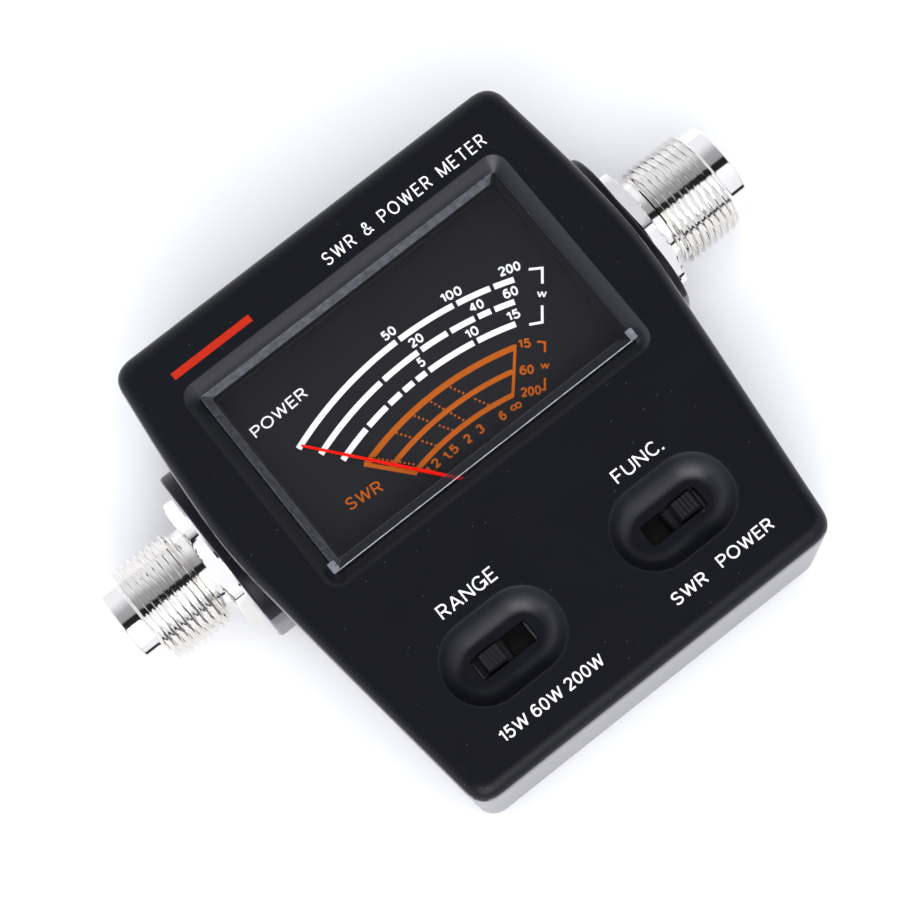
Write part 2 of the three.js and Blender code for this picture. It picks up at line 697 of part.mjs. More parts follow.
function couplerBoard() {
  const top = COUPLER_BOARD_Z + BOARD_THICKNESS;
  const sheet = block(0, 15.75, COUPLER_BOARD_Z, top, 54, 24.5);
  const holes = BOARD_SCREW_PLACES.map(([x, y]) => rod(x, y, COUPLER_BOARD_Z - 1, top + 1, 1.1));
  addPart('coupler_board', cut(sheet, ...holes), glassEpoxy);
  const partZ = top + 1.5;
  const lineSides = { forward: -12, reflected: 12 };
  for (const [name, x] of Object.entries(lineSides)) {
    axialComponent(`diode_${name}`, x, 7, partZ, 0.9, 3.8, diodeGlass);
    axialComponent(`load_resistor_${name}`, x, 18.5, partZ, 1.15, 4.2, resistorTan);
    const disc = new THREE.CylinderGeometry(1.9, 1.9, 1.2, SMALL_ROUND);
    addPart(`capacitor_${name}`, disc.translate(0.4 * x, 5.5, top + GAP + 1.9), ceramicDisc);
  }
  BOARD_SCREW_PLACES.forEach(([x, y], i) => {
    const { headRadius, headHeight, shankRadius } = SMALL_SCREW;
    const head = rod(x, y, top + GAP, top + GAP + headHeight, headRadius);
    const shank = rod(x, y, 5, top + GAP + 0.2, shankRadius);
    addPart(`board_screw_${i + 1}`, join(head, shank), steel);
  });
}

function switchBoard() {
  const top = SWITCH_BOARD_Z + BOARD_THICKNESS;
  const sheet = block(0, -24.5, SWITCH_BOARD_Z, top, 44, 14);
  const hole = rod(0, SWITCH_Y, SWITCH_BOARD_Z - 1, top + 1, 1.1);
  addPart('switch_board', cut(sheet, hole), glassEpoxy);
  const headZ = SWITCH_BOARD_Z - 1.5;
  screw('switch_board_screw', [0, SWITCH_Y], { ...SMALL_SCREW, headZ, tipZ: 22 });
  const trimmers = { trimmer_15w: -18, trimmer_60w: -9.5, trimmer_200w: 13 };
  for (const [name, x] of Object.entries(trimmers)) {
    const bottom = SWITCH_BOARD_Z - GAP - 3.2;
    const body = block(x, -26, bottom, SWITCH_BOARD_Z - GAP, 6.2, 6.2);
    const rotor = rod(x, -26, bottom - 0.4, bottom + 0.1, 1.9);
    const driverSlot = block(x, -26, bottom - 1, bottom - 0.1, 3, 0.6);
    addPart(name, cut(join(body, rotor), driverSlot), trimmerBlue);
  }
}

// ---------------------------------------------------------------- switches

function slideSwitch(name, x, positions, knobOffset) {
  const y = SWITCH_Y;
  const lidTop = DISH_FLOOR_Z - WALL - GAP;
  const lid = block(x, y, lidTop - 0.5, lidTop, 15, 7.6);
  const sides = [-1, 1].map((side) => block(x, y + side * 3.55, 19.6, lidTop, 15, 0.5));
  const opening = block(x, y, lidTop - 1, lidTop + 1, 8.6, 3.4);
  addPart(`${name}_switch_frame`, cut(join(lid, ...sides), opening), steel);

  const baseBottom = 18.6;
  const base = block(x, y, baseBottom, 21, 14.4, 6.2);
  const pins = [];
  for (let column = 0; column <= positions; column += 1) {
    const pinX = x + (column - positions / 2) * 3;
    const pinBottom = SWITCH_BOARD_Z + BOARD_THICKNESS + GAP;
    pins.push(...[-2, 2].map((row) => (
      block(pinX, y + row, pinBottom, baseBottom + 0.2, 0.8, 0.5)
    )));
  }
  addPart(`${name}_switch_base`, join(base, ...pins), phenolic);

  const knobX = x + knobOffset;
  const carriage = block(knobX, y, 21.4, 24.1, 5.6, 5);
  const stem = block(knobX, y, 24, KNOB.topZ - 0.4, KNOB.length, KNOB.width);
  const ribs = [];
  const ribCount = 5;
  for (let i = 0; i < ribCount; i += 1) {
    const ribX = knobX + (i - (ribCount - 1) / 2) * (KNOB.length / ribCount);
    ribs.push(block(ribX, y, KNOB.topZ - 0.6, KNOB.topZ, 0.34, KNOB.width));
  }
  addPart(`${name}_switch_slider`, join(carriage, stem, ...ribs), darkPlastic);
}

// ---------------------------------------------------------------- leads

function lead(name, points, finish) {
  const route = new THREE.CatmullRomCurve3(points.map((p) => new THREE.Vector3(...p)));
  const section = new THREE.Shape().absarc(0, 0, 0.5, 0, 2 * Math.PI);
  const tube = new THREE.ExtrudeGeometry(section, {
    steps: 10,
    curveSegments: 4,
    extrudePath: route,
  });
  addPart(name, tube, finish);
}

function leads() {
  lead('forward_lead', [[-20, 4, 14], [-20, 0, 15.6], [-19, -10, 16], [-19, -19, 17.6]], redPvc);
  lead('reflected_lead', [[20, 4, 14], [20, 0, 15.6], [19, -10, 16], [19, -19, 17.6]], blackPvc);
  lead('meter_lead_positive', [[-11.6, -10, 18], [-12.2, -14, 18], [-11, -18.4, 17.6]], redPvc);
  lead('meter_lead_negative', [[11.6, -10, 18], [12.2, -14, 18], [11, -18.4, 17.6]], blackPvc);
}

// ---------------------------------------------------------------- assembly

frontShell();
rearCover();
feet();
caseScrews();
meterWindow();
dialPlate();
meterFrame();
magnetSystem();
movingCoil();
pivotStaffs();
pointer();
hairspring('hairspring_upper', 24.2);
hairspring('hairspring_lower', 13.4);
bridges();
meterScrews();
sockets();
throughLine();
couplerBoard();
switchBoard();
slideSwitch('range', -SWITCH_X, 3, -KNOB_REST_OFFSET);
slideSwitch('function', SWITCH_X, 2, KNOB_REST_OFFSET);
leads();

export default swrMeter;
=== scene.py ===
"""Looks of a pocket SWR and power meter: a moulded case, a clear meter window over a
printed dial, two nickel-plated coaxial sockets and two slide switches.

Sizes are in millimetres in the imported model's frame, +Z out of the face and +Y up the
dial. Every mesh is turned to metres as it is made.
"""

import logging
import math
from collections.abc import Sequence
from dataclasses import dataclass, field
from enum import Enum

import bmesh
import bpy
import numpy as np
from mathutils import Matrix, Vector
from mathutils.geometry import delaunay_2d_cdt


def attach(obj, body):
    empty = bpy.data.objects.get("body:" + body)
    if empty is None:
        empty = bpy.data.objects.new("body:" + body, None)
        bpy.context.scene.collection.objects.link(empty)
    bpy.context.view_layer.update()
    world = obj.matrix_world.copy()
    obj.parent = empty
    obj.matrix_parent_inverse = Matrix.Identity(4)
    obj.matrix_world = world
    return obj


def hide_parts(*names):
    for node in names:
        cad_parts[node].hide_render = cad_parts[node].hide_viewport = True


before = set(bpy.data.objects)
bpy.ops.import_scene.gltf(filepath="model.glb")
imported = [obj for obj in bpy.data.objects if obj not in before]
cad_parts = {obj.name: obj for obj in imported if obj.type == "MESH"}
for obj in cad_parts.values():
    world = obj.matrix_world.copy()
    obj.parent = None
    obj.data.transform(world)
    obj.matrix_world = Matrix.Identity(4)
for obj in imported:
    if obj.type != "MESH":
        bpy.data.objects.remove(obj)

MM = 0.001
LOG = logging.getLogger("swr_meter")


# ---------------------------------------------------------------- names and colours


class Body(Enum):
    """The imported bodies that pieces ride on."""

    CASE = "case"
    RANGE_SLIDER = "range_slider"
    FUNCTION_SLIDER = "function_slider"
    POINTER = "pointer_assembly"


class Side(Enum):
    """The two ends of the coaxial line, by the sign of X."""

    LEFT = -1
    RIGHT = 1


class Joining(Enum):
    """How a tool shape acts on the piece it meets."""

    ADD = "UNION"
    CUT = "DIFFERENCE"


def linear(hex_code: str, alpha: float = 1.0) -> tuple[float, float, float, float]:
    """Turn an sRGB hex colour to the linear values that shaders use.

    Args:
        hex_code: Six hex digits after a hash.
        alpha: Opacity put after the three channels.

    Returns:
        Red, green, blue and alpha.
    """
    channels = np.array([int(hex_code[i : i + 2], 16) for i in (1, 3, 5)]) / 255
    low = channels / 12.92
    high = ((channels + 0.055) / 1.055) ** 2.4
    values = np.where(channels <= 0.04045, low, high)
    return (*values.tolist(), alpha)


def per_mm(size_mm: float) -> float:
    """Texture scale at which one cell of a pattern is size_mm wide."""
    return 1 / (size_mm * MM)


def bands_per_mm(spacing_mm: float) -> float:
    """Wave texture's scale at which its bands, which repeat every 2 pi / 20 units at
    scale 1, lie spacing_mm apart."""
    return 2 * math.pi / 20 * per_mm(spacing_mm)


# ---------------------------------------------------------------- surfaces


@dataclass
class Surface:
    """Points in millimetres with faces over them, each array of faces of one size."""

    points: np.ndarray = field(default_factory=lambda: np.empty((0, 3)))
    faces: list[np.ndarray] = field(default_factory=list)

    def __add__(self, other: "Surface") -> "Surface":
        """Put two surfaces side by side; points they share are merged in the mesh."""
        moved = [face + len(self.points) for face in other.faces]
        return Surface(np.vstack([self.points, other.points]), self.faces + moved)

    def turned(self, angle: float, x: float = 0.0, y: float = 0.0) -> "Surface":
        """Turn about an upright axis: plain rotation of X and Y round (x, y).

        Args:
            angle: Radians, anticlockwise seen from the face.
            x: Place of the axis.
            y: Place of the axis.

        Returns:
            The turned surface.
        """
        cos, sin = math.cos(angle), math.sin(angle)
        offset = self.points - (x, y, 0)
        turned = offset @ np.array([[cos, sin, 0], [-sin, cos, 0], [0, 0, 1]])
        return Surface(turned + (x, y, 0), self.faces)

    def moved(self, x: float, y: float, z: float) -> "Surface":
        """Shift every point by the same amount."""
        return Surface(self.points + (x, y, z), self.faces)


def skin(rows: np.ndarray, closed_rows: bool = False) -> Surface:
    """Cover rows of points with quads.

    Each quad joins two neighbours in a row to the same two in the next row, and every
    row is a closed loop.

    Args:
        rows: Points shaped (rows, points in a row, 3).
        closed_rows: True where the last row joins the first, as round a ring.

    Returns:
        The skin, open at its first and last row unless closed_rows.
    """
    count, size = rows.shape[:2]
    steps = count if closed_rows else count - 1
    row, place = np.meshgrid(np.arange(steps), np.arange(size), indexing="ij")
    after, beside = (row + 1) % count, (place + 1) % size
    corners = [
        row * size + place,
        row * size + beside,
        after * size + beside,
        after * size + place,
    ]
    return Surface(rows.reshape(-1, 3), [np.stack(corners, -1).reshape(-1, 4)])


def capped(rows: np.ndarray) -> Surface:
    """Skin rows of points and close the first and last row with one flat face each."""
    body = skin(rows)
    count, size = rows.shape[:2]
    body.faces.append(np.arange(size)[None, :])
    body.faces.append(np.arange((count - 1) * size, count * size)[None, :])
    return body


def at_height(loop: np.ndarray, z: float) -> np.ndarray:
    """Put a flat loop of (x, y) points at one height."""
    return np.column_stack([loop, np.full(len(loop), z)])


def within(places: np.ndarray, loop: np.ndarray) -> np.ndarray:
    """Even-odd test: a place is inside where a ray to its right crosses the loop an odd
    number of times.

    Args:
        places: (x, y) places to test.
        loop: Corners of a closed loop.

    Returns:
        True for each place inside the loop.
    """
    start, end = loop, np.roll(loop, -1, axis=0)
    y = places[:, 1:2]
    crossed = (start[:, 1] > y) != (end[:, 1] > y)
    rise = end[:, 1] - start[:, 1]
    slope = (end[:, 0] - start[:, 0]) / np.where(rise == 0, 1, rise)
    meets = start[:, 0] + (y - start[:, 1]) * slope
    return (crossed & (places[:, 0:1] < meets)).sum(1) % 2 == 1


def flat_fill(outer: np.ndarray, holes: Sequence[np.ndarray], z: float) -> Surface:
    """Fill a flat region with triangles, leaving its holes open.

    The triangles are the constrained Delaunay ones of all the loops, and those whose
    middle lies outside the outer loop or inside a hole are dropped.

    Args:
        outer: The region's edge.
        holes: Edges of its holes.
        z: Height of the plane.

    Returns:
        The filled region.
    """
    loops = [outer, *holes]
    points = np.vstack(loops)
    starts = np.cumsum([0] + [len(loop) for loop in loops])
    rings = [np.arange(a, b) for a, b in zip(starts[:-1], starts[1:], strict=True)]
    edges = np.vstack([np.column_stack([ring, np.roll(ring, -1)]) for ring in rings])
    result = delaunay_2d_cdt([Vector(p) for p in points], edges.tolist(), [], 0, 1e-7)
    flat = np.array([tuple(p) for p in result[0]])
    triangles = np.array([f for f in result[2] if len(f) == 3])
    middles = flat[triangles].mean(1)
    keep = within(middles, outer)
    for hole in holes:
        keep &= ~within(middles, hole)
    return Surface(at_height(flat, z), [triangles[keep]])


def rounded_rectangle(
    width: float, height: float, radius: float, x: float = 0, y: float = 0
) -> np.ndarray:
    """Loop of four quarter circles joined by straight sides, anticlockwise.

    Args:
        width: Across X.
        height: Across Y.
        radius: Of the corners.
        x: Middle.
        y: Middle.

    Returns:
        36 points, nine to a corner, whatever the sizes.
    """
    turn = np.linspace(0, math.pi / 2, 9)
    angles = np.array([-math.pi / 2, 0, math.pi / 2, math.pi])[:, None] + turn
    sign_x = np.array([1, 1, -1, -1])[:, None]
    sign_y = np.array([-1, 1, 1, -1])[:, None]
    px = x + sign_x * (width / 2 - radius) + radius * np.cos(angles)
    py = y + sign_y * (height / 2 - radius) + radius * np.sin(angles)
    return np.stack([px, py], -1).reshape(-1, 2)


def stadium(length: float, width: float, x: float, y: float) -> np.ndarray:
    """Loop of two half circles joined by straight sides, 50 points anticlockwise."""
    angles = np.linspace(-math.pi / 2, math.pi / 2, 25)
    reach, radius = (length - width) / 2, width / 2
    right = np.column_stack([reach + radius * np.cos(angles), radius * np.sin(angles)])
    return np.vstack([right, -right]) + (x, y)


def circle(radius: float, x: float, y: float, count: int = 48) -> np.ndarray:
    """Loop of equal steps round a circle."""
    angles = np.arange(count) * (2 * math.pi / count)
    return np.column_stack([x + radius * np.cos(angles), y + radius * np.sin(angles)])


def upright(
    profile: Sequence[tuple[float, float]], x: float, y: float, count: int = 48
) -> Surface:
    """Solid turned about an upright axis.

    Each point of the profile sweeps a circle of its radius at its height, and the first
    and last circles are closed by flat faces.

    Args:
        profile: (radius, height) points from one end to the other.
        x: Place of the axis.
        y: Place of the axis.
        count: Points round each circle.

    Returns:
        A closed solid.
    """
    rows = np.stack([at_height(circle(r, x, y, count), z) for r, z in profile])
    return capped(rows)


def bar_upright(radius: float, z0: float, z1: float, x: float, y: float) -> Surface:
    """Plain round bar that stands at (x, y) between two heights."""
    return upright([(radius, z0), (radius, z1)], x, y)


def strip(path: np.ndarray, width: float, z0: float, z1: float) -> Surface:
    """Flat strip with square ends: a rectangle carried along a path.

    Each point of the path gets an offset to its left and right of half the width,
    along the mitre of the two stretches that meet there.

    Args:
        path: (x, y) points.
        width: Of the strip.
        z0: Underside.
        z1: Top.

    Returns:
        A closed thin solid.
    """
    along = np.diff(path, axis=0)
    along /= np.linalg.norm(along, axis=1, keepdims=True)
    before, after = np.vstack([along[:1], along]), np.vstack([along, along[-1:]])
    mitre = before + after
    mitre /= np.linalg.norm(mitre, axis=1, keepdims=True)
    stretch = 1 / np.sum(mitre * after, axis=1, keepdims=True)
    aside = np.column_stack([-mitre[:, 1], mitre[:, 0]]) * stretch * width / 2
    left, right = path + aside, path - aside
    section = [at_height(left, z0), at_height(right, z0), at_height(right, z1)]
    return capped(np.stack([*section, at_height(left, z1)], axis=1))


def arc_points(
    centre_y: float, radius: float, start: float, end: float, steps: int
) -> np.ndarray:
    """Points of an arc about (0, centre_y), its angles counted from +Y towards +X."""
    angles = np.linspace(start, end, steps)
    return np.column_stack(
        [radius * np.sin(angles), centre_y + radius * np.cos(angles)]
    )


# ---------------------------------------------------------------- meshes


def make_mesh(name: str, surface: Surface) -> bpy.types.Mesh:
    """Put a surface into a mesh, merge its shared points and turn its faces outwards.

    Args:
        name: Name of the mesh.
        surface: What it holds, in millimetres.

    Returns:
        The mesh, in metres.
    """
    mesh = bpy.data.meshes.new(name)
    faces = [face for group in surface.faces for face in group.tolist()]
    mesh.from_pydata((surface.points * MM).tolist(), [], faces)
    work = bmesh.new()
    work.from_mesh(mesh)
    bmesh.ops.remove_doubles(work, verts=work.verts, dist=2e-7)
    bmesh.ops.recalc_face_normals(work, faces=work.faces)
    work.to_mesh(mesh)
    work.free()
    return mesh


def make_object(name: str, surface: Surface) -> bpy.types.Object:
    """Link a new object that holds a surface, at the origin and unturned."""
    piece = bpy.data.objects.new(name, make_mesh(name, surface))
    bpy.context.scene.collection.objects.link(piece)
    return piece


def combine(piece: bpy.types.Object, tool: Surface, joining: Joining) -> None:
    """Add a closed shape to a piece, or cut it away, and keep the result as its mesh.

    Args:
        piece: Changed in place.
        tool: The closed shape.
        joining: Whether it is added or cut.
    """
    other = make_object("tool", tool)
    modifier = piece.modifiers.new("combine", "BOOLEAN")
    modifier.object = other
    modifier.operation = joining.value
    modifier.solver = "MANIFOLD"
    depsgraph = bpy.context.evaluated_depsgraph_get()
    result = bpy.data.meshes.new_from_object(piece.evaluated_get(depsgraph))
    piece.modifiers.clear()
    old, name = piece.data, piece.data.name
    piece.data = result
    bpy.data.meshes.remove(old)
    result.name = name
    leftover = other.data
    bpy.data.objects.remove(other)
    bpy.data.meshes.remove(leftover)


def shade(piece: bpy.types.Object, sharp_degrees: float = 32) -> None:
    """Smooth a piece's faces and keep its edges sharper than an angle crisp."""
    piece.data.polygons.foreach_set("use_smooth", [True] * len(piece.data.polygons))
    piece.data.set_sharp_from_angle(angle=math.radians(sharp_degrees))


def per_face(piece: bpy.types.Object, what: str) -> np.ndarray:
    """Read each face's "normal" or its "center", one row to a face."""
    values = np.empty(len(piece.data.polygons) * 3)
    piece.data.polygons.foreach_get(what, values)
    return values.reshape(-1, 3)


def mark_faces(piece: bpy.types.Object, name: str, shares: np.ndarray) -> None:
    """Write an attribute with one number to a face, for the piece's finish to read."""
    attribute = piece.data.attributes.new(name, "FLOAT", "FACE")
    attribute.data.foreach_set("value", shares)


# ---------------------------------------------------------------- characters


def bow(
    x: float, y: float, wide: float, high: float, start: float, end: float
) -> list[tuple[float, float]]:
    """Points of part of an ellipse, about one for every 15 degrees.

    Args:
        x: Middle.
        y: Middle.
        wide: Half its width.
        high: Half its height.
        start: First angle, in degrees from +X.
        end: Last angle.

    Returns:
        The points in order.
    """
    angles = np.radians(np.linspace(start, end, 1 + round(abs(end - start) / 15)))
    return np.column_stack(
        [x + wide * np.cos(angles), y + high * np.sin(angles)]
    ).tolist()


# Plain upright characters: each one's width, and its strokes' middle lines, for a height
# of one. Strokes that meet at a sharp corner are drawn apart.
CHARACTERS: dict[str, tuple[float, list[list[tuple[float, float]]]]] = {
    "A": (
        0.76,
        [[(0, 0), (0.38, 1)], [(0.38, 1), (0.76, 0)], [(0.12, 0.32), (0.64, 0.32)]],
    ),
    "C": (0.74, [bow(0.38, 0.5, 0.38, 0.5, 45, 315)]),
    "E": (0.55, [[(0.55, 1), (0, 1), (0, 0), (0.55, 0)], [(0, 0.52), (0.5, 0.52)]]),
    "F": (0.52, [[(0.52, 1), (0, 1), (0, 0)], [(0, 0.5), (0.46, 0.5)]]),
    "G": (
        0.78,
        [
            [*bow(0.39, 0.5, 0.39, 0.5, 45, 335), (0.78, 0.46), (0.44, 0.46)],
            [(0.78, 0.46), (0.78, 0)],
        ],
    ),
    "M": (
        0.84,
        [
            [(0, 0), (0, 1)],
            [(0, 1), (0.42, 0)],
            [(0.42, 0), (0.84, 1)],
            [(0.84, 1), (0.84, 0)],
        ],
    ),
    "N": (0.68, [[(0, 0), (0, 1)], [(0, 1), (0.68, 0)], [(0.68, 0), (0.68, 1)]]),
    "O": (0.84, [bow(0.42, 0.5, 0.42, 0.5, 0, 360)]),
    "P": (0.6, [[(0, 0), (0, 1), *bow(0.33, 0.74, 0.27, 0.26, 90, -90), (0, 0.48)]]),
    "R": (
        0.62,
        [
            [(0, 0), (0, 1), *bow(0.33, 0.74, 0.27, 0.26, 90, -90), (0, 0.48)],
            [(0.34, 0.48), (0.62, 0)],
        ],
    ),
    "S": (
        0.6,
        [bow(0.3, 0.755, 0.27, 0.245, 25, 270) + bow(0.3, 0.255, 0.3, 0.255, 75, -155)],
    ),
    "T": (0.62, [[(0, 1), (0.62, 1)], [(0.31, 1), (0.31, 0)]]),
    "U": (0.68, [[(0, 1), *bow(0.34, 0.34, 0.34, 0.34, 180, 360), (0.68, 1)]]),
    "W": (
        1.04,
        [
            [(0, 1), (0.26, 0)],
            [(0.26, 0), (0.52, 1)],
            [(0.52, 1), (0.78, 0)],
            [(0.78, 0), (1.04, 1)],
        ],
    ),
    "&": (
        0.76,
        [
            [(0.76, 0), (0.2, 0.7), *bow(0.34, 0.82, 0.17, 0.18, 165, -45)]
            + bow(0.28, 0.25, 0.28, 0.25, 135, 330)
            + [(0.68, 0.42)],
        ],
    ),
    ".": (0.0, [[(-0.16, 0), (0, 0)]]),
    "0": (0.52, [bow(0.26, 0.5, 0.26, 0.5, 0, 360)]),
    "1": (0.26, [[(0.26, 0), (0.26, 1)], [(0.26, 1), (0.17, 0.83), (0, 0.78)]]),
    "2": (0.52, [[*bow(0.26, 0.72, 0.26, 0.28, 165, -30), (0, 0)], [(0, 0), (0.52, 0)]]),
    "3": (
        0.52,
        [
            bow(0.25, 0.76, 0.235, 0.24, 160, -75),
            bow(0.25, 0.265, 0.27, 0.265, 80, -160),
        ],
    ),
    "4": (
        0.56,
        [[(0.42, 0), (0.42, 1)], [(0.42, 1), (0, 0.3)], [(0, 0.3), (0.56, 0.3)]],
    ),
    "5": (
        0.52,
        [[(0.47, 1), (0.1, 1), (0.05, 0.48)], bow(0.25, 0.32, 0.27, 0.32, 140, -155)],
    ),
    "6": (
        0.54,
        [
            bow(0.27, 0.31, 0.27, 0.31, 0, 360),
            [*bow(0.29, 0.5, 0.29, 0.5, 50, 180), (0, 0.31)],
        ],
    ),
    "8": (
        0.54,
        [bow(0.27, 0.75, 0.23, 0.25, 0, 360), bow(0.27, 0.25, 0.27, 0.25, 0, 360)],
    ),
    " ": (0.3, []),
}


@dataclass(frozen=True)
class Label:
    """Printed characters that fill a box, turned about its middle.

    Each stroke of a character ends one step lower than the one before it, so that no
    two tops lie in the same plane where strokes cross.
    """

    text: str
    x: float
    y: float
    width: float
    height: float
    turn_degrees: float = 0.0
    stroke: float = 0.25
    spacing: float = 0.27
    step: float = 0.002

    def surface(self, z0: float, z1: float) -> Surface:
        """Draw the strokes between two heights.

        Each middle line is stretched so that the row of characters fills the box, and
        becomes a strip of the stroke's width.

        Args:
            z0: Underside of the ink.
            z1: Top of the ink.

        Returns:
            The ink as thin solids.
        """
        widths = np.array([CHARACTERS[character][0] for character in self.text])
        starts = np.cumsum(widths + self.spacing) - widths - self.spacing
        box = np.array([self.width, self.height]) - self.stroke
        stretch = box / (starts[-1] + widths[-1], 1)
        drawn = Surface()
        for character, start in zip(self.text, starts, strict=True):
            for order, line in enumerate(CHARACTERS[character][1]):
                path = (np.array(line) + (start, 0)) * stretch - box / 2
                drawn += strip(path, self.stroke, 0, z1 - z0 - self.step * order)
        return drawn.turned(math.radians(self.turn_degrees)).moved(self.x, self.y, z0)


# ---------------------------------------------------------------- finishes


def add_node(
    tree: bpy.types.NodeTree,
    kind: str,
    sockets: dict | None = None,
    **settings: object,
) -> bpy.types.Node:
    """Add a shader node.

    Args:
        tree: Where it goes.
        kind: Its type.
        sockets: Inputs by name or number, each a plain value or an output to link.
        settings: Its own properties.

    Returns:
        The node.
    """
    node = tree.nodes.new(kind)
    for key, value in settings.items():
        setattr(node, key, value)
    for key, value in (sockets or {}).items():
        if isinstance(value, bpy.types.NodeSocket):
            tree.links.new(value, node.inputs[key])
        else:
            node.inputs[key].default_value = value
    return node


@dataclass(frozen=True)
class Finish:
    """A material's name and how it is made; each kind of finish adds its own nodes."""

    name: str

    def material(self) -> bpy.types.Material:
        """Make the material once, and give the same one back after that."""
        known = bpy.data.materials.get(self.name)
        if known:
            return known
        made = bpy.data.materials.new(self.name)
        made.use_nodes = True
        tree = made.node_tree
        tree.nodes.clear()
        place = add_node(tree, "ShaderNodeTexCoord").outputs["Object"]
        shader = add_node(tree, "ShaderNodeBsdfPrincipled", self.shader_values())
        self.dress(tree, shader, place)
        add_node(
            tree, "ShaderNodeOutputMaterial", {"Surface": shader.outputs["BSDF"]}
        )
        return made

    def shader_values(self) -> dict:
        """Values that are the same all over the surface."""
        return {}

    def dress(
        self,
        tree: bpy.types.NodeTree,
        shader: bpy.types.Node,
        place: bpy.types.NodeSocket,
    ) -> None:
        """Link the patterns that change over the surface.

        Args:
            tree: The material's nodes.
            shader: Its Principled node.
            place: Object coordinates, in metres.
        """

    def put_on(self, piece: bpy.types.Object) -> None:
        """Give a piece this finish all over."""
        piece.data.materials.clear()
        piece.data.materials.append(self.material())


@dataclass(frozen=True)
class MouldedPlastic(Finish):
    """Injection-moulded plastic: a dull colour with the tool's fine spark-eroded grain,
    which breaks up highlights, slow drifts of tone and a little settled dust. Where the
    side attribute marks a face, light is painted in: a paler grey colour and more shine
    stand in for the pale floor mirrored in the walls and for highlights on the slopes
    that face the lamps."""

    colour: str
    second_colour: str
    roughness: float = 0.5
    roughness_spread: float = 0.08
    grain_mm: float = 0.22
    grain_depth_mm: float = 0.01
    drift_mm: float = 9.0
    dust: float = 0.0
    dust_colour: str = "#c8c8cc"
    specular: float = 0.5
    # Painted reflection and highlight: colour, shine and coat of the faces that the side
    # attribute marks.
    painted_sheen_colour: str = "#363541"
    painted_sheen_specular: float = 1.0
    painted_sheen_coat: float = 0.6

    def shader_values(self) -> dict:
        """ABS and nylon have an index of refraction near 1.53."""
        return {"IOR": 1.53, "Coat Roughness": 0.3}

    def dress(
        self,
        tree: bpy.types.NodeTree,
        shader: bpy.types.Node,
        place: bpy.types.NodeSocket,
    ) -> None:
        """Drifting tone, dust specks, grain in both bump and roughness, and painted
        reflection and highlight where the side attribute is set.
        """
        drift = add_node(
            tree,
            "ShaderNodeTexNoise",
            {
                "Vector": place,
                "Scale": per_mm(self.drift_mm),
                "Detail": 4.0,
                "Roughness": 0.6,
            },
        )
        tone = add_node(
            tree,
            "ShaderNodeMix",
            {
                "Factor": drift.outputs["Fac"],
                "A": linear(self.colour),
                "B": linear(self.second_colour),
            },
            data_type="RGBA",
        )
        # Dust: one speck of about 0.15 mm wherever a scattered point meets the surface.
        specks = add_node(
            tree, "ShaderNodeTexVoronoi", {"Vector": place, "Scale": per_mm(1.9)}
        )
        dusty = add_node(
            tree,
            "ShaderNodeMapRange",
            {
                "Value": specks.outputs["Distance"],
                "From Min": 0.03,
                "From Max": 0.055,
                "To Min": self.dust,
                "To Max": 0.0,
            },
        )
        dusted = add_node(
            tree,
            "ShaderNodeMix",
            {
                "Factor": dusty.outputs["Result"],
                "A": tone.outputs["Result"],
                "B": linear(self.dust_colour),
            },
            data_type="RGBA",
        )
        grain = add_node(
            tree,
            "ShaderNodeTexNoise",
            {"Vector": place, "Scale": per_mm(self.grain_mm), "Detail": 2.0},
        )
        rough = add_node(
            tree,
            "ShaderNodeMapRange",
            {
                "Value": grain.outputs["Fac"],
                "To Min": self.roughness - self.roughness_spread,
                "To Max": self.roughness + self.roughness_spread,
            },
        )
        bump = add_node(
            tree,
            "ShaderNodeBump",
            {
                "Height": grain.outputs["Fac"],
                "Distance": self.grain_depth_mm * MM,
                "Strength": 0.6,
            },
        )
        # Painted reflection and highlight: where the side attribute is set, the colour
        # is pulled towards a paler grey and the shine is raised. This stands in for the
        # pale floor seen in the walls and for light on the slopes. A piece without the
        # side attribute reads 0 here.
        side = add_node(tree, "ShaderNodeAttribute", attribute_name="side")
        painted_sheen_tone = add_node(
            tree,
            "ShaderNodeMix",
            {
                "Factor": side.outputs["Fac"],
                "A": dusted.outputs["Result"],
                "B": linear(self.painted_sheen_colour),
            },
            data_type="RGBA",
        )
        shine = add_node(
            tree,
            "ShaderNodeMapRange",
            {
                "Value": side.outputs["Fac"],
                "To Min": self.specular,
                "To Max": self.painted_sheen_specular,
            },
        )
        gloss = add_node(
            tree,
            "ShaderNodeMapRange",
            {"Value": side.outputs["Fac"], "To Max": self.painted_sheen_coat},
        )
        tree.links.new(gloss.outputs["Result"], shader.inputs["Coat Weight"])
        tree.links.new(painted_sheen_tone.outputs["Result"], shader.inputs["Base Color"])
        tree.links.new(shine.outputs["Result"], shader.inputs["Specular IOR Level"])
        tree.links.new(rough.outputs["Result"], shader.inputs["Roughness"])
        tree.links.new(bump.outputs["Normal"], shader.inputs["Normal"])


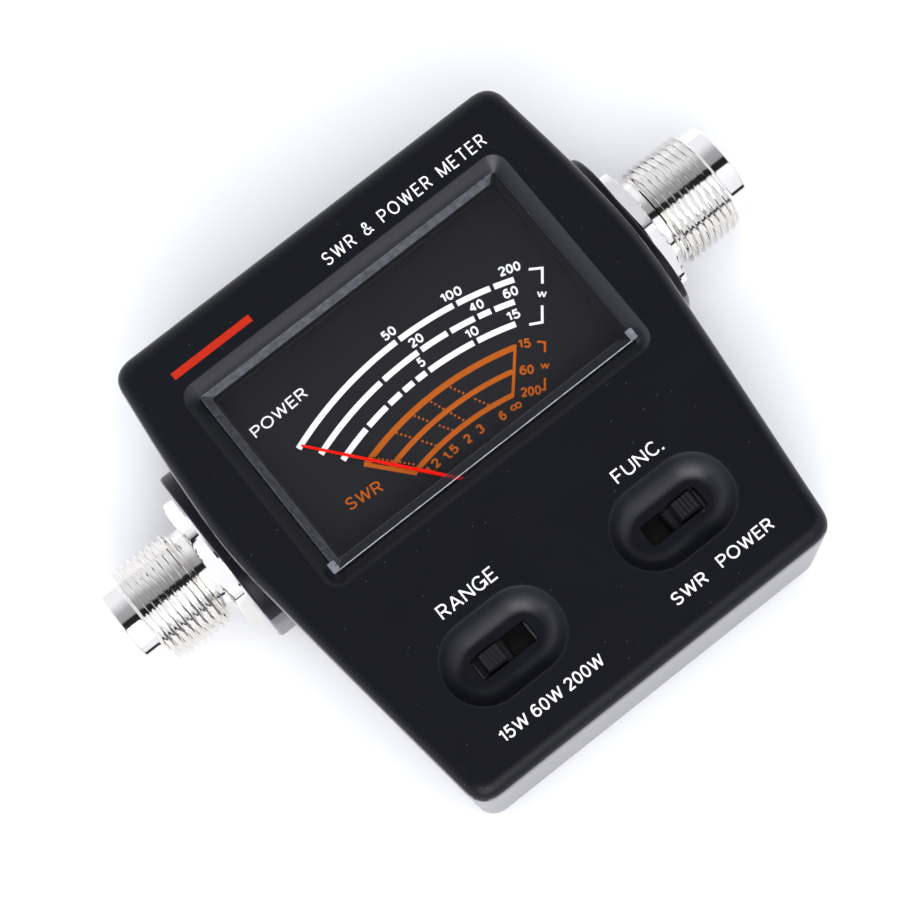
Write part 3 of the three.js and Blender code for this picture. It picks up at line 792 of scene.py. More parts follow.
@dataclass(frozen=True)
class ClearAcrylic(Finish):
    """Polished clear acrylic: it all but vanishes face on, and its moulded rims and
    walls get a painted highlight. The rim attribute says how pale a face is, as a
    painted highlight, and the veil attribute says how much it hides."""

    clear_share: float = 0.015
    rim_share: float = 0.9
    dark_colour: str = "#14151a"
    painted_glint_colour: str = "#d9dce8"
    streak_mm: float = 0.8

    def shader_values(self) -> dict:
        """Acrylic's index of refraction is 1.49."""
        return {"IOR": 1.49, "Roughness": 0.06, "Specular IOR Level": 0.8}

    def dress(
        self,
        tree: bpy.types.NodeTree,
        shader: bpy.types.Node,
        place: bpy.types.NodeSocket,
    ) -> None:
        """Painted highlight from the rim attribute, broken up along the rims, and
        opacity from the veil attribute."""
        # Painted highlight: the rim attribute pulls the colour towards a pale glint.
        rim = add_node(tree, "ShaderNodeAttribute", attribute_name="rim")
        streaks = add_node(
            tree,
            "ShaderNodeTexNoise",
            {"Vector": place, "Scale": per_mm(self.streak_mm), "Detail": 3.0},
        )
        broken = add_node(
            tree,
            "ShaderNodeMath",
            {0: streaks.outputs["Fac"], 1: rim.outputs["Fac"]},
            operation="MULTIPLY",
        )
        veil = add_node(tree, "ShaderNodeAttribute", attribute_name="veil")
        shown = add_node(
            tree,
            "ShaderNodeMapRange",
            {
                "Value": veil.outputs["Fac"],
                "To Min": self.clear_share,
                "To Max": self.rim_share,
            },
        )
        tone = add_node(
            tree,
            "ShaderNodeMix",
            {
                "Factor": broken.outputs["Value"],
                "A": linear(self.dark_colour),
                "B": linear(self.painted_glint_colour),
            },
            data_type="RGBA",
        )
        tree.links.new(shown.outputs["Result"], shader.inputs["Alpha"])
        tree.links.new(tone.outputs["Result"], shader.inputs["Base Color"])


@dataclass(frozen=True)
class ScreenInk(Finish):
    """Screen-printed ink: opaque and matt, a shade thinner here and there."""

    colour: str
    thin_colour: str
    roughness: float = 0.6
    specular: float = 0.15
    patch_mm: float = 0.4

    def shader_values(self) -> dict:
        """Printing ink has a plain varnish's index of refraction."""
        return {
            "IOR": 1.5,
            "Roughness": self.roughness,
            "Specular IOR Level": self.specular,
        }

    def dress(
        self,
        tree: bpy.types.NodeTree,
        shader: bpy.types.Node,
        place: bpy.types.NodeSocket,
    ) -> None:
        """Thin patches let the ground darken the ink slightly."""
        patches = add_node(
            tree,
            "ShaderNodeTexNoise",
            {"Vector": place, "Scale": per_mm(self.patch_mm), "Detail": 3.0},
        )
        thin = add_node(
            tree,
            "ShaderNodeMapRange",
            {"Value": patches.outputs["Fac"], "From Min": 0.5, "From Max": 0.8},
        )
        tone = add_node(
            tree,
            "ShaderNodeMix",
            {
                "Factor": thin.outputs["Result"],
                "A": linear(self.colour),
                "B": linear(self.thin_colour),
            },
            data_type="RGBA",
        )
        tree.links.new(tone.outputs["Result"], shader.inputs["Base Color"])


@dataclass(frozen=True)
class WorkedMetal(Finish):
    """Metal turned or stamped and then plated or left bare: fine tool rings stretch the
    highlight, and faint stains change how sharp it is."""

    colour: str
    second_colour: str
    roughness: float = 0.15
    ring_mm: float = 0.3
    ring_depth_mm: float = 0.002
    stain_mm: float = 2.5

    def shader_values(self) -> dict:
        """A metal keeps the default index of refraction."""
        return {"Metallic": 1.0}

    def dress(
        self,
        tree: bpy.types.NodeTree,
        shader: bpy.types.Node,
        place: bpy.types.NodeSocket,
    ) -> None:
        """Rings across X, stains of a few millimetres, and both in the roughness."""
        rings = add_node(
            tree,
            "ShaderNodeTexWave",
            {
                "Vector": place,
                "Scale": bands_per_mm(self.ring_mm),
                "Distortion": 0.4,
                "Detail": 2.0,
            },
            bands_direction="X",
        )
        stains = add_node(
            tree,
            "ShaderNodeTexNoise",
            {"Vector": place, "Scale": per_mm(self.stain_mm), "Detail": 5.0},
        )
        tone = add_node(
            tree,
            "ShaderNodeMix",
            {
                "Factor": stains.outputs["Fac"],
                "A": linear(self.colour),
                "B": linear(self.second_colour),
            },
            data_type="RGBA",
        )
        rough = add_node(
            tree,
            "ShaderNodeMapRange",
            {
                "Value": stains.outputs["Fac"],
                "From Min": 0.3,
                "From Max": 0.7,
                "To Min": 0.7 * self.roughness,
                "To Max": 1.3 * self.roughness,
            },
        )
        bump = add_node(
            tree,
            "ShaderNodeBump",
            {
                "Height": rings.outputs["Fac"],
                "Distance": self.ring_depth_mm * MM,
                "Strength": 0.5,
            },
        )
        tree.links.new(tone.outputs["Result"], shader.inputs["Base Color"])
        tree.links.new(rough.outputs["Result"], shader.inputs["Roughness"])
        tree.links.new(bump.outputs["Normal"], shader.inputs["Normal"])


@dataclass(frozen=True)
class Laminate(Finish):
    """Pressed board: woven cloth under resin shows as a faint crossed pattern."""

    colour: str
    thread_colour: str
    thread_mm: float = 0.5

    def shader_values(self) -> dict:
        """Epoxy's index of refraction is 1.55."""
        return {"IOR": 1.55, "Roughness": 0.4}

    def dress(
        self,
        tree: bpy.types.NodeTree,
        shader: bpy.types.Node,
        place: bpy.types.NodeSocket,
    ) -> None:
        """Two sets of bands, across X and across Y, multiplied together."""
        scale = bands_per_mm(self.thread_mm)
        across, along = (
            add_node(
                tree,
                "ShaderNodeTexWave",
                {"Vector": place, "Scale": scale},
                bands_direction=direction,
            ).outputs["Fac"]
            for direction in "XY"
        )
        weave = add_node(
            tree, "ShaderNodeMath", {0: across, 1: along}, operation="MULTIPLY"
        )
        tone = add_node(
            tree,
            "ShaderNodeMix",
            {
                "Factor": weave.outputs["Value"],
                "A": linear(self.colour),
                "B": linear(self.thread_colour),
            },
            data_type="RGBA",
        )
        tree.links.new(tone.outputs["Result"], shader.inputs["Base Color"])


# The case: black ABS from a spark-eroded tool, satin with a slight blue cast.
CASE_ABS = MouldedPlastic(
    "satin_black_abs_moulded",
    "#07080e",
    "#0d0e16",
    roughness=0.36,
    dust=0.12,
    specular=0.22,
)
# The slide knobs and meter frame: black nylon, duller and browner than the case.
BLACK_NYLON = MouldedPlastic(
    "matt_black_nylon_moulded", "#161618", "#1e1e21", roughness=0.42, grain_mm=0.15
)
WINDOW_ACRYLIC = ClearAcrylic("clear_acrylic_moulded")
# The dial: aluminium sheet sprayed charcoal, quite matt so the print stands out.
DIAL_PAINT = MouldedPlastic(
    "charcoal_sprayed_dial_sheet",
    "#17171a",
    "#1b1b1f",
    roughness=0.75,
    grain_mm=0.12,
    grain_depth_mm=0.004,
    specular=0.3,
)
WHITE_INK = ScreenInk("white_screen_ink", "#f6f6f4", "#e4e4e4")
ORANGE_INK = ScreenInk("orange_screen_ink", "#b45a16", "#a95317")
RED_INK = ScreenInk("red_screen_ink", "#bd2a12", "#a81c16", roughness=0.45)
NEEDLE_ENAMEL = ScreenInk(
    "red_enamelled_aluminium", "#f51505", "#ef1c10", roughness=0.4
)
# The sockets: brass bars turned on a lathe, then bright nickel plated.
NICKEL = WorkedMetal("bright_nickel_plate", "#f3f1ed", "#e6e4e0", roughness=0.07)
BRASS = WorkedMetal("turned_brass", "#c9a653", "#b28d3f", roughness=0.28)
STEEL = WorkedMetal("zinc_plated_steel", "#a9acb2", "#8d9097", roughness=0.32)
MAGNET = WorkedMetal("cast_magnet_alloy", "#5e6065", "#4d4f54", roughness=0.5)
# Enamelled wire laid in turns 0.1 mm apart, drawn at 0.3 mm so that turns show.
COIL_WIRE = WorkedMetal(
    "enamelled_copper_winding", "#b5653a", "#8f4a26", roughness=0.35, ring_depth_mm=0.05
)
PTFE = MouldedPlastic("white_ptfe_turned", "#f1f0ea", "#e6e4dc", roughness=0.45)
PHENOLIC = Laminate("black_phenolic_pressed", "#080706", "#0d0b0a", thread_mm=0.4)
GLASS_EPOXY = Laminate("green_glass_epoxy_board", "#28603a", "#3a7a4a")
TRIMMER_BLUE = MouldedPlastic("blue_thermoset_trimmer", "#2a5fae", "#234f94")
RESISTOR_TAN = MouldedPlastic("tan_resistor_lacquer", "#c9b48a", "#b9a276")
CERAMIC = MouldedPlastic("dipped_ceramic_disc", "#c47a2c", "#a9651f")
DIODE_GLASS = MouldedPlastic(
    "fired_diode_glass", "#d98a5a", "#c67442", roughness=0.12, grain_depth_mm=0.001
)
RUBBER = MouldedPlastic(
    "black_rubber_moulded", "#161616", "#1d1c1b", roughness=0.8, grain_mm=0.3
)
RED_PVC = MouldedPlastic("red_pvc_sleeve", "#b3261e", "#991f18", roughness=0.4)
BLACK_PVC = MouldedPlastic("black_pvc_sleeve", "#17171a", "#202024", roughness=0.4)


def place_piece(
    piece: bpy.types.Object,
    finish: Finish,
    replaces: Sequence[str] = (),
    body: Body = Body.CASE,
) -> None:
    """Dress a finished piece, hang it on its body and report it.

    Args:
        piece: The finished object.
        finish: Its material.
        replaces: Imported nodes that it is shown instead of.
        body: The body it rides on.
    """
    finish.put_on(piece)
    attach(piece, body.value)
    if replaces:
        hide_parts(*replaces)
    LOG.info("%s: %d faces, %s", piece.name, len(piece.data.polygons), finish.name)


# ---------------------------------------------------------------- case


@dataclass(frozen=True)
class CasePlan:
    """The case seen from its face: bowed sides, straight ends, rounded corners."""

    length: float = 78.0
    bottom_half_width: float = 29.9
    top_half_width: float = 33.0
    corner: float = 3.6
    side_x: tuple[float, ...] = (30.2, 33.8, 35.1, 34.6, 33.2)
    side_y: tuple[float, ...] = (-5.0, 9.0, 22.0)
    steps: int = 12

    def bend(self, start: Sequence, middle: Sequence, end: Sequence) -> np.ndarray:
        """Quadratic curve from start to end, pulled towards middle, without its end."""
        t = (np.arange(self.steps) / self.steps)[:, None]
        a, b, c = map(np.array, (start, middle, end))
        return (1 - t) ** 2 * a + 2 * t * (1 - t) * b + t**2 * c

    def side(self, points: np.ndarray) -> np.ndarray:
        """Smooth curve through points: each stretch is the cubic that leaves and meets
        its ends along the chord of their neighbours. It is given without its end."""
        padded = np.vstack([points[:1], points, points[-1:]])
        before, start, end, after = (padded[i : len(padded) - 3 + i] for i in range(4))
        t = (np.arange(self.steps) / self.steps)[None, :, None]
        leave = 0.5 * (end - before)[:, None]
        arrive = 0.5 * (after - start)[:, None]
        start, end = start[:, None], end[:, None]
        curve = (2 * start - 2 * end + leave + arrive) * t**3
        curve = curve + (3 * end - 3 * start - 2 * leave - arrive) * t**2
        return (curve + leave * t + start).reshape(-1, 2)

    def loop(self, inset: float) -> np.ndarray:
        """The outline moved in all round.

        Args:
            inset: How far.

        Returns:
            A closed loop with the same number of points for every inset.
        """
        end = self.length / 2 - inset
        corner = max(self.corner - inset, 1.0)
        y = [-end + corner, *self.side_y, end - corner]
        side = np.column_stack([np.array(self.side_x) - inset, y])
        bottom, top = self.bottom_half_width - inset, self.top_half_width - inset
        low = np.column_stack([np.linspace(0, bottom - corner, 9), np.full(9, -end)])
        high = np.column_stack([np.linspace(top - corner, 0, 9), np.full(9, end)])
        right = [
            low[:-1],
            self.bend((bottom - corner, -end), (bottom, -end), side[0]),
            self.side(side),
            self.bend(side[-1], (top, end), (top - corner, end)),
            high,
        ]
        half = np.vstack(right)
        return np.vstack([half, half[-2:0:-1] * (-1, 1)])

    def rows(self, profile: Sequence[tuple[float, float]]) -> np.ndarray:
        """Carry a profile of (inset, height) points round the outline."""
        return np.stack([at_height(self.loop(inset), z) for inset, z in profile])


def quarter(
    inset: float, radius: float, start_z: float, end_z: float, steps: int = 8
) -> list[tuple[float, float]]:
    """Quarter-round edge as (inset, height) points, from the wall to the flat."""
    angles = np.linspace(0, math.pi / 2, steps + 1)
    insets = inset + radius * (1 - np.cos(angles))
    heights = start_z + (end_z - start_z) * np.sin(angles)
    return list(zip(insets.tolist(), heights.tolist(), strict=True))


@dataclass(frozen=True)
class CaseSizes:
    """Sizes and places that the case shares with what is fitted to it."""

    plan: CasePlan = field(default_factory=CasePlan)
    depth: float = 30.0
    wall: float = 2.0
    parting_z: float = 6.0
    draft: float = 0.7
    window_y: float = 13.0
    switch_y: float = -24.0
    seat_x: float = 36.4
    socket_y: float = 12.4
    socket_z: float = 15.0
    screws: tuple[tuple[float, float], ...] = (
        (-27.5, 33.5),
        (27.5, 33.5),
        (-25.0, -33.5),
        (25.0, -33.5),
    )
    feet: tuple[tuple[float, float], ...] = (
        (-28.0, 24.0),
        (28.0, 24.0),
        (-24.0, -25.0),
        (24.0, -25.0),
    )


@dataclass(frozen=True)
class FrontShell:
    """Front half of the case, with the window's sloped recess, two dished switch
    recesses and a flat seat for each socket."""

    case: CaseSizes = field(default_factory=CaseSizes)
    fillet: float = 2.2
    lip: float = 0.18
    window_width: float = 51.0
    window_height: float = 31.0
    window_corner: float = 0.4
    slope: float = 1.9
    foot_draft: float = 0.12
    dish_length: float = 19.0
    dish_width: float = 12.5
    dish_floor_z: float = 27.3
    dish_lip: float = 0.45
    bowl_inset: float = 3.65
    slot_length: float = 9.0
    slot_width: float = 3.2
    slot_chamfer: float = 0.15
    switch_x: float = 14.35
    pad_margin: float = 2.0
    seat_length: float = 26.4
    seat_height: float = 22.0
    seat_corner: float = 8.0
    seat_edge: float = 0.5
    seat_root_x: float = 32.0
    boss_radius: float = 9.6
    boss_x: tuple[float, float] = (31.6, 33.2)
    bore_radius: float = 8.1
    bore_x: tuple[float, float] = (30.0, 37.4)
    post_radius: float = 2.6
    post_top_z: float = 28.4
    pilot_radius: float = 1.25
    pilot_top_z: float = 16.0

    def wall_profile(self) -> list[tuple[float, float]]:
        """(inset, height) points: under the panel, down inside the wall, across its
        foot, up outside and over the quarter-round edge to the face."""
        case = self.case
        shoulder = case.depth - self.fillet
        under = case.depth - case.wall
        heights = np.linspace(case.parting_z + 0.15, shoulder, 14)[:-1]
        lean = case.draft * (shoulder - heights) / (shoulder - case.parting_z)
        outside = list(zip(lean.tolist(), heights.tolist(), strict=True))
        return [
            (case.wall + 0.4, under),
            (case.wall, under),
            (case.draft + case.wall, case.parting_z),
            (case.draft + 0.15, case.parting_z),
            *outside,
            *quarter(0, self.fillet, shoulder, case.depth),
            (self.fillet + 0.35, case.depth),
        ]

    def recess_rows(self) -> np.ndarray:
        """Loops of the window's recess: a rounded lip, the slope and its thin foot."""
        top, foot = self.case.depth, self.case.depth - self.slope
        turn = np.linspace(0, math.pi / 4, 4)
        grows = self.slope + self.lip * (1 - np.sin(turn))
        drops = self.lip * (1 - np.cos(turn))
        levels = [(self.slope + self.lip + 0.3, top)]
        levels += list(zip(grows.tolist(), (top - drops).tolist(), strict=True))
        levels += [(self.foot_draft, foot + self.foot_draft / 3), (0, foot)]
        levels += [(0, top - self.case.wall)]
        rows = [
            at_height(
                rounded_rectangle(
                    self.window_width + 2 * grow,
                    self.window_height + 2 * grow,
                    self.window_corner + grow,
                    0,
                    self.case.window_y,
                ),
                z,
            )
            for grow, z in levels
        ]
        return np.stack(rows)

    def dish_profile(self) -> list[tuple[float, float]]:
        """(inset, height) points of a switch's dish, from the face to its floor.

        A rounded lip drops into a bowl, whose height falls off as a parabola.
        """
        top, floor = self.case.depth, self.dish_floor_z
        turn = np.linspace(0, math.pi / 3, 5)
        lip = np.column_stack(
            [self.dish_lip * np.sin(turn), top - self.dish_lip * (1 - np.cos(turn))]
        ).tolist()
        share = np.linspace(0, 1, 12)
        inset = lip[-1][0] + (self.bowl_inset - lip[-1][0]) * share
        height = floor + (lip[-1][1] - floor) * (1 - share) ** 2
        levels = [(-0.35, top), *map(tuple, lip)]
        bowl = zip(inset[1:].tolist(), height[1:].tolist(), strict=True)
        return [*levels, *bowl, (self.bowl_inset + 0.2, floor)]

    def dish(self, x: float) -> tuple[Surface, np.ndarray, np.ndarray]:
        """One switch's dish with its slot and the pad behind it.

        Args:
            x: Middle of the dish.

        Returns:
            The surface, and the loops where it meets the face and the underside.
        """
        y, floor, chamfer = self.case.switch_y, self.dish_floor_z, self.slot_chamfer
        back, under = floor - self.case.wall, self.case.depth - self.case.wall
        size = np.array([self.dish_length, self.dish_width])
        loops = [
            at_height(stadium(*(size - 2 * inset), x, y), z)
            for inset, z in self.dish_profile()
        ]
        length, width, corner = self.slot_length, self.slot_width, 0.35
        slot = rounded_rectangle(length, width, corner, x, y)
        lip = rounded_rectangle(
            length + 2 * chamfer, width + 2 * chamfer, corner + chamfer, x, y
        )
        pad = stadium(*(size + self.pad_margin), x, y)
        walls = [(lip, floor), (slot, floor - chamfer), (slot, back)]
        surface = skin(np.stack(loops))
        surface += skin(np.stack([at_height(loop, z) for loop, z in walls]))
        surface += flat_fill(loops[-1][:, :2], [lip], floor)
        surface += flat_fill(pad, [slot], back)
        surface += skin(np.stack([at_height(pad, back), at_height(pad, under)]))
        return surface, loops[0][:, :2], pad

    def body(self) -> Surface:
        """The whole shell in one closed skin, before its seats and screw posts."""
        walls = self.case.plan.rows(self.wall_profile())
        recess = self.recess_rows()
        left, left_edge, left_pad = self.dish(-self.switch_x)
        right, right_edge, right_pad = self.dish(self.switch_x)
        face_holes = [recess[0][:, :2], left_edge, right_edge]
        under_holes = [recess[-1][:, :2], left_pad, right_pad]
        face = flat_fill(walls[-1][:, :2], face_holes, self.case.depth)
        under = flat_fill(
            walls[0][:, :2], under_holes, self.case.depth - self.case.wall
        )
        return skin(walls) + skin(recess) + left + right + face + under

    def seat(self, side: Side) -> Surface:
        """Flat pad that a socket's nut bears on: a rounded rectangle carried out along
        X, with its outer edge rounded.

        Args:
            side: Which end.

        Returns:
            A closed solid that reaches through the wall.
        """
        case, edge = self.case, self.seat_edge
        reach = [
            (0.0, self.seat_root_x),
            *quarter(0, edge, case.seat_x - edge, case.seat_x, 4),
        ]
        rows = []
        for inset, x in reach:
            loop = rounded_rectangle(
                self.seat_length - 2 * inset,
                self.seat_height - 2 * inset,
                self.seat_corner - inset,
                case.socket_y,
                case.socket_z,
            )
            rows.append(np.column_stack([np.full(len(loop), side.value * x), loop]))
        return capped(np.stack(rows))

    def bar(self, side: Side, radius: float, ends: tuple[float, float]) -> Surface:
        """Round bar along the sockets' axis between two distances from the middle."""
        loop = circle(radius, self.case.socket_y, self.case.socket_z, 72)
        rows = [
            np.column_stack([np.full(len(loop), side.value * x), loop]) for x in ends
        ]
        return capped(np.stack(rows))

    def build(self) -> None:
        """Make the shell, its seats, bores and screw posts, and show it."""
        case = self.case
        piece = make_object("front_shell_moulding", self.body())
        for side in Side:
            combine(piece, self.seat(side), Joining.ADD)
            boss = self.bar(side, self.boss_radius, self.boss_x)
            bore = self.bar(side, self.bore_radius, self.bore_x)
            combine(piece, boss, Joining.ADD)
            combine(piece, bore, Joining.CUT)
        # The seats reach below the parting line; a disc wider than the case trims them.
        below = upright([(60, -5), (60, case.parting_z)], 0, 0)
        combine(piece, below, Joining.CUT)
        for x, y in case.screws:
            post = bar_upright(self.post_radius, case.parting_z, self.post_top_z, x, y)
            pilot = bar_upright(
                self.pilot_radius, case.parting_z - 1, self.pilot_top_z, x, y
            )
            combine(piece, post, Joining.ADD)
            combine(piece, pilot, Joining.CUT)
        shade(piece)
        mark_painted_sheen(piece)
        place_piece(piece, CASE_ABS, ["front_shell"])


def mark_painted_sheen(piece: bpy.types.Object) -> None:
    """Write the side attribute, which paints light into the case's colour. It is 1 on
    the outer walls, as a painted reflection of the pale floor. The slopes of the
    window's recess and the dishes get a share of that, as a painted highlight. It is 0
    elsewhere.

    A wall's face stands nearly upright, lies clear of the recesses and looks away from
    the middle. A slope's face is tilted and lies inside the recesses, just under the
    panel. Its painted highlight grows as it turns towards -Y and -X, where the lamps
    stand.

    Args:
        piece: A half of the case.
    """
    upright_tilt, flat_tilt = 0.3, 0.99
    clear_x, clear_y = 28.4, 35.5
    slopes_x, slopes_y, slopes_middle_y = 28.5, 31.5, 0.5
    slopes_z = (27.25, 29.9)
    painted_highlight_by_y, painted_highlight_by_x = 0.3, 0.4
    normals = per_face(piece, "normal")
    x, y, z = (per_face(piece, "center") / MM).T
    tilt = np.abs(normals[:, 2])
    outer = (np.abs(x) > clear_x) | (np.abs(y) > clear_y)
    away = normals[:, 0] * x + normals[:, 1] * y > 0
    walls = (tilt < upright_tilt) & outer & away
    sunk = (z > slopes_z[0]) & (z < slopes_z[1])
    sunk &= (tilt > upright_tilt) & (tilt < flat_tilt)
    sunk &= (np.abs(x) < slopes_x) & (np.abs(y - slopes_middle_y) < slopes_y)
    # Painted highlight: slopes that face the lamps at -X and -Y get a share of the
    # paler, shinier colour. The walls get all of it as a painted reflection of the
    # floor.
    facing = np.clip(-normals, 0, 1)
    painted_highlight_share = painted_highlight_by_y * facing[:, 1] + painted_highlight_by_x * facing[:, 0]
    mark_faces(piece, "side", np.where(walls, 1.0, np.where(sunk, painted_highlight_share, 0)))


@dataclass(frozen=True)
class RearCover:
    """Rear half of the case: a shallow tray, set in a little from the front half, with
    four counterbored screw holes, four pockets for the feet and two posts that carry the
    coupler board. sunk_z is how low the posts start, inside the floor."""

    case: CaseSizes = field(default_factory=CaseSizes)
    inset: float = 1.0
    rim_z: float = 5.7
    back_z: float = 0.3
    fillet: float = 1.5
    counterbore: float = 2.6
    counterbore_z: float = 2.2
    lead_in: float = 0.25
    boss_radius: float = 3.2
    hole_radius: float = 1.3
    post_radius: float = 2.4
    post_top_z: float = 11.3
    posts: tuple[tuple[float, float], ...] = ((-22.0, 24.0), (22.0, 24.0))
    pocket_radius: float = 3.8
    pocket_z: float = 1.1
    sunk_z: float = 1.5

    def profile(self) -> list[tuple[float, float]]:
        """(inset, height) points: the floor inside, up the wall, over its rim, down
        outside and round the quarter-round edge to the flat back."""
        inside = self.inset + self.case.wall
        shoulder = self.back_z + self.fillet
        edge = quarter(self.inset + 0.2, self.fillet, shoulder, self.back_z)
        return [
            (inside + 0.6, self.case.wall),
            (inside + 0.2, self.case.wall),
            (inside, self.rim_z),
            (self.inset + 0.15, self.rim_z),
            (self.inset, self.rim_z - 0.15),
            (self.inset + 0.1, (self.rim_z + self.fillet) / 2),
            *edge,
            (edge[-1][0] + 0.35, self.back_z),
        ]

    def build(self) -> None:
        """Make the tray, its posts and its counterbores, and show it."""
        rows = self.case.plan.rows(self.profile())
        inside = flat_fill(rows[0][:, :2], [], self.case.wall)
        back = flat_fill(rows[-1][:, :2], [], self.back_z)
        piece = make_object("rear_cover_moulding", skin(rows) + inside + back)
        mouth = self.counterbore + self.lead_in
        sink = [
            (mouth, -1),
            (mouth, self.back_z),
            (self.counterbore, self.back_z + self.lead_in),
            (self.counterbore, self.counterbore_z),
        ]
        for x, y in self.case.screws:
            boss = bar_upright(self.boss_radius, self.sunk_z, self.rim_z, x, y)
            hole = bar_upright(self.hole_radius, 1, self.rim_z + 1.3, x, y)
            combine(piece, boss, Joining.ADD)
            combine(piece, upright(sink, x, y), Joining.CUT)
            combine(piece, hole, Joining.CUT)
        for x, y in self.posts:
            post = bar_upright(self.post_radius, self.sunk_z, self.post_top_z, x, y)
            combine(piece, post, Joining.ADD)
        pocket = [
            (self.pocket_radius + 0.15, -1),
            (self.pocket_radius + 0.15, self.back_z),
            (self.pocket_radius, self.back_z + 0.15),
            (self.pocket_radius, self.pocket_z),
        ]
        for x, y in self.case.feet:
            combine(piece, upright(pocket, x, y), Joining.CUT)
        shade(piece)
        mark_painted_sheen(piece)
        place_piece(piece, CASE_ABS, ["rear_cover"])


@dataclass(frozen=True)
class Feet:
    """Four rubber feet let into the rear cover, rounded at the lower edge."""

    case: CaseSizes = field(default_factory=CaseSizes)
    radius: float = 3.5
    thickness: float = 0.8
    edge: float = 0.25

    def build(self) -> None:
        """Make the feet: a disc whose lower edge is a quarter round."""
        edge = quarter(0, self.edge, self.edge, 0, 5)
        profile = [(self.radius - inset, z) for inset, z in reversed(edge)]
        profile.append((self.radius, self.thickness))
        for number, (x, y) in enumerate(self.case.feet, start=1):
            piece = make_object(f"foot_{number}_moulding", upright(profile, x, y))
            shade(piece)
            place_piece(piece, RUBBER, [f"foot_{number}"])


@dataclass(frozen=True)
class CaseScrews:
    """Four cross-headed pan screws that hold the rear cover."""

    case: CaseSizes = field(default_factory=CaseSizes)
    head_radius: float = 2.2
    head_z: float = 0.7
    head_height: float = 1.3
    shank_radius: float = 0.95
    tip_z: float = 14.0
    ridge_step: float = 0.35
    ridge_height: float = 0.22
    cross_length: float = 3.1
    cross_width: float = 0.75
    cross_depth: float = 1.05

    def screw(self, x: float, y: float) -> Surface:
        """Domed head and ringed shank, turned about an upright axis: the head's radius
        follows a circle's arc, and the thread's is a row of ridges."""
        dome = np.linspace(0.15, 1, 8)
        radii = self.head_radius * np.sqrt(1 - (1 - dome) ** 2)
        heights = self.head_z + 0.7 * self.head_height * dome**1.5
        head = list(zip(radii.tolist(), heights.tolist(), strict=True))
        base = self.head_z + self.head_height
        ridges = np.arange(base + 0.4, self.tip_z - 1.2, self.ridge_step)
        swell = np.where(np.arange(len(ridges)) % 2 == 0, 0.0, self.ridge_height)
        thread = self.shank_radius - 0.1 + swell
        shank = list(zip(thread.tolist(), ridges.tolist(), strict=True))
        profile = [(0.35, self.head_z), *head, (self.head_radius, base)]
        profile += [(self.shank_radius, base), *shank, (0.2, self.tip_z)]
        return upright(profile, x, y, 32)

    def recess(self, x: float, y: float, turn: float) -> Surface:
        """One bar of the cross: a rectangle that narrows as it goes in."""
        levels = [
            (self.cross_length, self.cross_width, self.head_z - 0.6),
            (1.5, 0.4, self.head_z + self.cross_depth),
        ]
        rows = [
            at_height(rounded_rectangle(length, width, 0.12), z)
            for length, width, z in levels
        ]
        return capped(np.stack(rows)).turned(turn).moved(x, y, 0)

    def build(self) -> None:
        """Make the four screws, each cross turned its own way."""
        for number, (x, y) in enumerate(self.case.screws, start=1):
            piece = make_object(f"case_screw_{number}_turned", self.screw(x, y))
            for quarter_turn in (0, math.pi / 2):
                bar = self.recess(x, y, 0.7 * number + quarter_turn)
                combine(piece, bar, Joining.CUT)
            shade(piece)
            place_piece(piece, STEEL, [f"case_screw_{number}"])


# ---------------------------------------------------------------- meter


@dataclass(frozen=True)
class RimLook:
    """An attribute of the window's rim, for its wall, its bevel and the flat inside
    them, each with a number for the left, right, upper and lower side."""

    attribute: str
    wall: tuple[float, float, float, float]
    bevel: tuple[float, float, float, float]
    flat: tuple[float, float, float, float]


